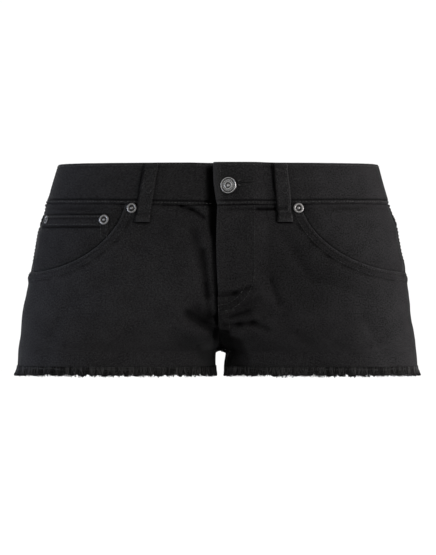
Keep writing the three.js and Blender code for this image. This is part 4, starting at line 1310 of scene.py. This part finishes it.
def sew_waistband():
    sewing = Sewing(0.5)

    def run(turns, drops, **options):
        sides, arounds = place_at_turn(turns)
        points, normals = lay(sides, arounds, drops, lambda out, drop, around, tilt: waistband_relief(turns, drop))
        sewing.add(stitch_run(points, normals, **options))

    count = 700
    first, _ = waistband_turns(np.array([TOP_STITCH, 35.0]))
    end = 4 + turn_at_x(np.array(-3.5))
    inset = LAP_STITCH / WAIST_RATE
    turns = np.linspace(first[0] + inset, end, count)
    run(turns, np.full(count, TOP_STITCH))
    turns = np.linspace(first[1] + inset, end, count)
    sides, arounds = place_at_turn(turns)
    x = sides * body(arounds, np.full(count, 34.0))[0]
    run(turns, waist_seam(np.where(arounds < 1, x, BEHIND_X)) - SEAM_STITCH_RISE)
    drops = np.linspace(2.5, 35, 30)
    starts, _ = waistband_turns(drops)
    run(starts + inset, drops)
    return sewing.make("stitching_waistband")


def sew_buttonhole():
    """Close stitches round the buttonhole, which runs from the button towards the side."""
    sewing = Sewing(0.12)
    half = 0.75
    count = 30
    for edge in (-1, 1):
        x = np.repeat(np.linspace(SLIT_START_X, SLIT_END_X, count)[:, None], 3, axis=1)
        eye = 0.9 * hill(x, SLIT_START_X + 1.2, 1.3)
        drop = SLIT_DROP + edge * (half + eye + np.array([0.0, 0.6, 1.2])[None, :])
        turns = turn_at_x(x)
        centres, out = lay(1, around_at(x, drop), drop, lambda o, d, a, t, turns=turns: waistband_relief(turns, d))
        centres = centres + out * np.array([0.05, 0.3, -0.1])[None, :, None]
        eye_count = 4
        sewing.tone = 0.95
        sewing.add((centres[:eye_count], out[:eye_count], np.full((eye_count, 3), 0.34)))
        sewing.tone = 0.12
        sewing.add((centres[eye_count:], out[eye_count:], np.full((count - eye_count, 3), 0.24)))
    return sewing.make("stitching_buttonhole")


def sew_loops():
    sewing = Sewing(0.2)
    for _, xs, turn in LOOPS:
        for shift in (-0.62, 0.62):
            drop = np.linspace(8, 49, 40)
            middle = loop_middle(xs, turn, drop)
            turns = middle + shift * LOOP_WIDTH / 2 / rate_at(middle, drop)
            sides, arounds = place_at_turn(turns)
            across = np.full(drop.shape, shift)
            points, normals = lay(sides, arounds, drop, lambda o, d, a, t, c=across: loop_relief(c, d))
            sewing.add(stitch_run(points, normals))
        for drop in LOOP_TACKS:
            middle = loop_middle(xs, turn, np.array(drop))
            sides, arounds = place_at_turn(middle)
            sewing.add(bar_tack(float(sides), float(arounds), drop,
                                lambda o, d, a, t: loop_relief(np.zeros(np.shape(d)), d),
                                LOOP_WIDTH - 2.6, LOOP_TACK_HEIGHT))
    return sewing.make("stitching_belt_loops")


# The frayed hem

def hem_height(side):
    """The cloth's height at the hem, front and back, which the threads below it keep."""
    def height(out, drop, around, tilt):
        return hem_wave(around, np.minimum(drop, HEM_DROP), np.where(around > 1, 2.5 - side, 1.0 + side))
    return height


def ragged_strip(side, girth, ring_length, ring):
    """The loosened weave at the hem: a thin strip, ribbed by its hanging yarns, with a ragged lower edge."""
    columns, rows = 1000, 10
    place = np.linspace(0, girth, columns)
    around = np.interp(place, ring_length, ring)
    ragged = 0.9 * np.sin(place / 1.7 + side) + 0.8 * np.sin(place / 4.1) + rng.normal(0, 0.75, columns)
    bottom = FRAY_END + 0.3 + np.clip(0.6 * ragged, -1.6, 1.2)
    drop = lerp(HEM_DROP - 1.0, bottom[None, :], np.linspace(0, 1, rows)[:, None])
    arounds = np.repeat(around[None, :], rows, axis=0)
    loose = smooth(drop, HEM_DROP - 1, HEM_DROP + 6)
    ribs = 0.3 * np.sin(place * 2 * math.pi / 1.45 + 1.5 * np.sin(place / 6)) + 0.35 * np.sin(place / 2.9)
    lift = -0.3 + (ribs[None, :] + curl(around)[None, :]) * loose
    outer, normal = lay(side, arounds, drop, hem_height(side), lift)
    inner = outer - normal * lerp(0.9, 0.5, loose)[..., None]
    data = np.concatenate([outer, inner, normal], -1)
    data, faces = clip_grid(data, np.ones(drop.shape))
    if side < 0:
        faces = [face[::-1] for face in faces]
    points, faces, _ = close_sheet(data[:, :3], data[:, 3:6], data[:, 6:9], faces)
    return points, faces


def curl(around):
    """How far the frayed edge turns out: most at the outer side of the leg."""
    return 2.2 * hill(around, 1.0, 0.13)


def fray(side, name):
    """Loose threads along a leg's raw edge: the warp hangs down, and a few weft threads still cross it."""
    ring = np.linspace(0, 2, 400)
    points, _ = lay(side, ring, HEM_DROP, hem_height(side))
    length = np.concatenate([[0], np.cumsum(np.linalg.norm(np.diff(points, axis=0), axis=1))])
    girth = length[-1]
    strip_points, strip_faces = ragged_strip(side, girth, length, ring)
    parts, tones = [(strip_points, strip_faces)], [np.full(len(strip_points), 0.12)]
    bundles = int(girth / 1.05)
    bundle_ends = np.sort((np.arange(bundles) + rng.uniform(0, 1.3, bundles)) * girth / bundles)
    bundle_tones = rng.beta(0.8, 1.4, bundles)
    bundle_lean = rng.normal(0, 1.7, bundles)
    for depth, spacing, mean, spread in ((0.35, 0.85, 8.3, 1.1), (0.0, 0.95, 8.8, 1.0), (-0.95, 0.9, 8.3, 1.1)):
        count = int(girth / spacing)
        place = (np.arange(count) + rng.uniform(0.1, 0.9, count)) * girth / count
        around = np.interp(place, length, ring)
        clump = 0.7 * np.sin(place / 2.3 + 4 * side) + 0.7 * np.sin(place / 5.9)
        reach = np.clip(mean + spread * rng.normal(size=count) * 0.6 + 0.35 * clump, 4.0, 9.8)
        steps = np.linspace(0, 1, 6)[None, :]
        drop = HEM_DROP - 0.6 + (reach + 0.6)[:, None] * steps
        bundle = np.clip(np.searchsorted(bundle_ends, place), 0, bundles - 1)
        lean = (bundle_lean[bundle] + rng.normal(0, 0.5, count))[:, None] * steps**1.5
        lean = lean + rng.normal(0, 0.28, (count, 6)) * steps
        kink = rng.normal(0, 0.6, count)[:, None] * np.sin(math.pi * steps * rng.uniform(0.8, 2.2, count)[:, None])
        flare = (rng.normal(0.1, 0.45, count) + curl(around))[:, None] * steps**2 + depth
        flare = flare + rng.normal(0, 0.12, (count, 6)) * steps
        arounds = np.clip(around[:, None] + (lean + kink) * 2 / girth, 0, 2)
        centres, out = lay(side, arounds, drop, hem_height(side))
        centres = centres + out * flare[..., None]
        radius = rng.uniform(0.24, 0.42, count)[:, None] * (1 - 0.4 * steps**2)
        parts.append(tubes(centres, out, radius * np.ones((count, 6)), 4))
        tone = np.clip(bundle_tones[bundle] + rng.normal(0, 0.22, count), 0, 1)
        lit = lerp(0.5, 1, smooth(drop, HEM_DROP - 1.2, HEM_DROP + 1.2))
        lit = lit * (1 - 0.9 * smooth(drop, HEM_DROP + 6.0, HEM_DROP + 8.0))
        tones.append(np.repeat((tone[:, None] * lit).ravel(), 4))
    weft, steps = 30, 40
    start = rng.uniform(0.02, 1.7, weft)
    span = rng.uniform(0.08, 0.3, weft)
    arounds = start[:, None] + span[:, None] * np.linspace(0, 1, steps)[None, :]
    drops = HEM_DROP + rng.uniform(-0.3, 2.0, weft)[:, None] + 0.35 * np.sin(arounds * 90 + start[:, None] * 50)
    drops = drops + rng.uniform(0, 3.2, weft)[:, None] * np.linspace(-1, 1, steps)[None, :] ** 4
    centres, out = lay(side, arounds, drops, hem_height(side))
    centres = centres + out * (0.35 + 0.25 * np.sin(arounds * 160))[..., None]
    parts.append(tubes(centres, out, np.full((weft, steps), 0.22), 4))
    tones.append(np.repeat(rng.uniform(0.1, 0.7, weft), steps * 4))
    points, faces = join(parts)
    made = add_object(name + "_threads", points, faces, MATERIALS["fray"],
                      tone_of(np.concatenate(tones)))
    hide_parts(name)
    return made


# Button and rivets

def lathe(profile, sides):
    """A closed solid turned round +Z from radius, height and tone."""
    profile = np.array(profile, float)
    angles = np.arange(sides) * 2 * math.pi / sides
    rings = []
    tones = []
    for radius, height, tone in profile[1:-1]:
        rings.append(np.stack([radius * np.cos(angles), radius * np.sin(angles), np.full(sides, height)], -1))
        tones.append(np.full(sides, tone))
    points = np.vstack([*rings, [[0, 0, profile[0, 1]]], [[0, 0, profile[-1, 1]]]])
    tones = np.concatenate([*tones, [profile[0, 2], profile[-1, 2]]])
    count = len(rings)
    first, last = count * sides, count * sides + 1
    faces = []
    for k in range(sides):
        following = (k + 1) % sides
        faces.append([first, following, k])
        for ring in range(count - 1):
            low, high = ring * sides, (ring + 1) * sides
            faces.append([low + k, low + following, high + following, high + k])
        faces.append([(count - 1) * sides + k, (count - 1) * sides + following, last])
    return points, faces, tones


def stand_on(x, drop):
    """A matrix that puts +Z along the cloth's outward direction at a place on the front."""
    side = -1 if x < 0 else 1
    around = around_at(abs(x), float(drop))
    base = skin(side, around, float(drop))
    normal = Vector(skin_normal(side, around, float(drop)))
    across = Vector((0, 0, 1)).cross(normal).normalized()
    up = normal.cross(across)
    turn = Matrix((across, up, normal)).transposed()
    return np.array(turn), base


def put(points, place):
    turn, base = place
    return points @ turn.T + base


def button():
    """A cap turned round its own axis, with a ring of beads, which leans to the side on its post."""
    seat = WAISTBAND_HEIGHT + LAP_LIFT + 0.1
    profile = [
        (0, -3, 0.2), (3.6, -3, 0.2), (3.6, -2.2, 0.2), (1.2, -2.2, 0.2), (2.4, seat - 0.4, 0.1), (2.4, seat, 0.1),
        (6.9, seat, 0.05), (7.8, seat + 0.3, 0.2), (8.25, seat + 0.8, 0.6), (8.3, seat + 1.3, 0.9),
        (8.1, seat + 1.8, 1.0), (7.75, seat + 2.05, 1.0), (7.35, seat + 2.0, 0.75), (7.05, seat + 1.6, 0.15),
        (6.7, seat + 1.35, 0.0), (6.2, seat + 1.4, 0.15), (4.5, seat + 1.5, 0.4), (4.25, seat + 1.55, 0.4),
        (3.95, seat + 2.0, 0.95), (3.55, seat + 2.15, 1.0), (3.15, seat + 2.0, 0.7), (2.85, seat + 1.45, 0.05),
        (2.1, seat + 1.35, 0.05), (1.75, seat + 1.75, 0.6), (1.0, seat + 2.2, 1.0), (0, seat + 2.3, 1.0),
    ]
    points, faces, tones = lathe(profile, 56)
    parts, all_tones = [(points, faces)], [tones]
    beads = 16
    for k in range(beads):
        angle = k * 2 * math.pi / beads
        bead = [(0, -0.2, 0.1), (0.5, -0.1, 0.15), (0.62, 0.12, 0.6), (0.5, 0.42, 0.95), (0.25, 0.6, 1), (0, 0.64, 1)]
        bead_points, bead_faces, bead_tones = lathe(bead, 8)
        bead_points = bead_points + (5.4 * math.cos(angle), 5.4 * math.sin(angle), seat + 1.45)
        parts.append((bead_points, bead_faces))
        all_tones.append(bead_tones)
    points, faces = join(parts)
    points = points * (BUTTON_SIZE, BUTTON_SIZE, 1)
    face = points[:, 2] > seat - 0.01
    across, up = points[:, 0].copy(), points[:, 2] - seat
    points[:, 0] = np.where(face, across * math.cos(BUTTON_TILT) + up * math.sin(BUTTON_TILT), across)
    tilted = seat + 1.2 - across * math.sin(BUTTON_TILT) + up * math.cos(BUTTON_TILT)
    points[:, 2] = np.where(face, tilted, points[:, 2])
    made = add_object("button_cap", put(points, stand_on(BUTTON_X, BUTTON_DROP)), faces, MATERIALS["button"],
                      tone_of(np.concatenate(all_tones)))
    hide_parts("button")
    return made


def rivet(name, x, drop, seat, painted_brightness, size):
    profile = [
        (0, -4.2, 0.3), (3.0, -4.2, 0.3), (3.2, -3.6, 0.3), (1.2, -3.6, 0.3), (1.2, seat - 0.3, 0.2),
        (4.2, seat - 0.1, 0.1), (4.7, seat + 0.1, 0.4), (4.95, seat + 0.5, 0.9), (4.8, seat + 0.95, 1),
        (4.3, seat + 1.3, 1), (3.6, seat + 1.35, 0.95), (3.05, seat + 1.1, 0.6), (2.7, seat + 0.6, 0.05),
        (2.1, seat + 0.4, 0.0), (1.65, seat + 0.5, 0.05), (1.35, seat + 0.95, 0.8), (0.75, seat + 1.3, 1),
        (0, seat + 1.4, 1),
    ]
    points, faces, tones = lathe(profile, 40)
    points = points * (size, size, 1)
    # Each rivet's tone scaled by its painted brightness.
    made = add_object(name + "_cap", put(points, stand_on(x, drop)), faces, MATERIALS["rivet"],
                      tone_of(tones * painted_brightness))
    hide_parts(name)
    return made


# The shorts


for side_name, side_sign in (("left", 1), ("right", -1)):
    front_name, back_name = "front_" + side_name, "back_" + side_name
    front = front_panel(side_sign, front_name)
    back = back_panel(side_sign, back_name)
    hem_threads = fray(side_sign, "hem_fray_" + side_name)
    sew_front(side_sign, front_name)
    sew_back(side_sign, back_name)
    yoke(side_sign, "yoke_" + side_name)
    facing_name = "pocket_facing_" + side_name
    facing(side_sign, facing_name)
    pocket_name = "back_pocket_" + side_name
    back_pocket(side_sign, pocket_name)
    sew_back_pocket(side_sign, pocket_name)

coin_pocket()
sew_coin_pocket()
fly_shield()
waistband()
sew_waistband()
sew_buttonhole()
for loop_name, loop_xs, loop_turn in LOOPS:
    belt_loop(loop_name, loop_xs, loop_turn)
sew_loops()
button()
for rivet_row in RIVETS:
    rivet(*rivet_row)


# Studio: a white floor well below the shorts, soft light, and the camera

FLOOR_Z = -0.46
FLOOR_DIM_RADIUS = 0.7
FLOOR_LIT_RADIUS = 1.5
CAMERA_AZIMUTH = math.radians(1.2)
CAMERA_DISTANCE = 5.0
CAMERA_Z = -0.1088
PHOTO_LONG_SIDE = 555
FRONT_SCALE = 0.00095 * CAMERA_DISTANCE / (CAMERA_DISTANCE - 0.1)  # metres to a pixel, in the side seams' plane


def floor():
    """A floor, pale grey near the shorts, that glows white from a little way off: the glow is painted light, standing
    in for a lit studio sweep.
    """
    material, nodes = new_material("white_floor")
    place = nodes.add("ShaderNodeTexCoord").outputs["Object"]
    grain = nodes.noise(place, 40.0, 2.0)
    away = nodes.add("ShaderNodeVectorMath", {0: place}, operation="LENGTH").outputs["Value"]
    far = nodes.add("ShaderNodeMapRange", {
        "Value": away, "From Min": FLOOR_DIM_RADIUS, "From Max": FLOOR_LIT_RADIUS,
    }, interpolation_type="SMOOTHSTEP").outputs[0]
    colour = nodes.mix(far, nodes.mix(grain, grey(0.52), grey(0.56)), grey(0.95))
    # Painted light: the far floor glows.
    nodes.finish(colour, Roughness=0.9, Specular_IOR_Level=0.1, Emission_Color=grey(1.0),
                 Emission_Strength=nodes.times(far, 0.85))
    half = 14.0
    mesh = bpy.data.meshes.new("floor")
    corners = [(x * half, y * half, 0) for x, y in ((-1, -1), (1, -1), (1, 1), (-1, 1))]
    mesh.from_pydata(corners, [], [(0, 1, 2, 3)])
    mesh.materials.append(material)
    made = link("floor", mesh)
    made.location = (0, 0, FLOOR_Z)


def area_light(name, place, target, size, power, colour):
    data = bpy.data.lights.new(name, "AREA")
    data.shape = "RECTANGLE"
    data.size, data.size_y = size
    data.energy = power
    data.color = colour
    made = link(name, data)
    made.location = place
    made.rotation_euler = (Vector(target) - Vector(place)).to_track_quat("-Z", "Y").to_euler()


def camera():
    data = bpy.data.cameras.new("camera")
    data.sensor_width = 36
    data.lens = data.sensor_width * CAMERA_DISTANCE / (FRONT_SCALE * PHOTO_LONG_SIDE)
    data.clip_end = 100
    made = link("camera", data)
    made.location = (
        CAMERA_DISTANCE * math.sin(CAMERA_AZIMUTH), -CAMERA_DISTANCE * math.cos(CAMERA_AZIMUTH), CAMERA_Z,
    )
    made.rotation_euler = (math.pi / 2, 0, CAMERA_AZIMUTH)
    bpy.context.scene.camera = made


def world():
    """White all round at eye level, and dimmer overhead, so that the lamps model the cloth."""
    made = bpy.data.worlds.new("white_studio")
    made.use_nodes = True
    nodes = Nodes(made.node_tree)
    direction = nodes.add("ShaderNodeTexCoord").outputs["Generated"]
    height = nodes.add("ShaderNodeSeparateXYZ", {0: direction}).outputs[2]
    strength = nodes.add("ShaderNodeMapRange", {
        "Value": nodes.maths("ABSOLUTE", height), "From Min": 0.1, "From Max": 0.28, "To Min": 1.02, "To Max": 0.25,
    }, interpolation_type="SMOOTHSTEP").outputs[0]
    background = made.node_tree.nodes["Background"]
    background.inputs["Color"].default_value = (1, 1, 1, 1)
    made.node_tree.links.new(strength, background.inputs["Strength"])
    bpy.context.scene.world = made


floor()
area_light("key", (2.6, -2.3, 1.6), (0, 0, -0.1), (0.7, 0.7), 70, (1.0, 0.955, 0.955))
area_light("fill", (-2.4, -2.6, 1.3), (0, 0, -0.1), (1.4, 1.4), 34, (0.97, 0.985, 1.0))
area_light("side_right", (2.0, 0.1, -0.2), (0, 0, -0.15), (0.7, 1.0), 84, (1.0, 0.955, 0.97))
area_light("side_left", (-2.0, 0.2, -0.25), (0, 0, -0.15), (0.7, 1.0), 62, (0.72, 0.79, 1.0))
area_light("back", (-1.0, 3.1, 1.3), (0, 0, -0.1), (1.4, 1.4), 80, (1.0, 0.99, 0.98))
camera()
world()
bpy.context.scene.view_settings.view_transform = "Standard"
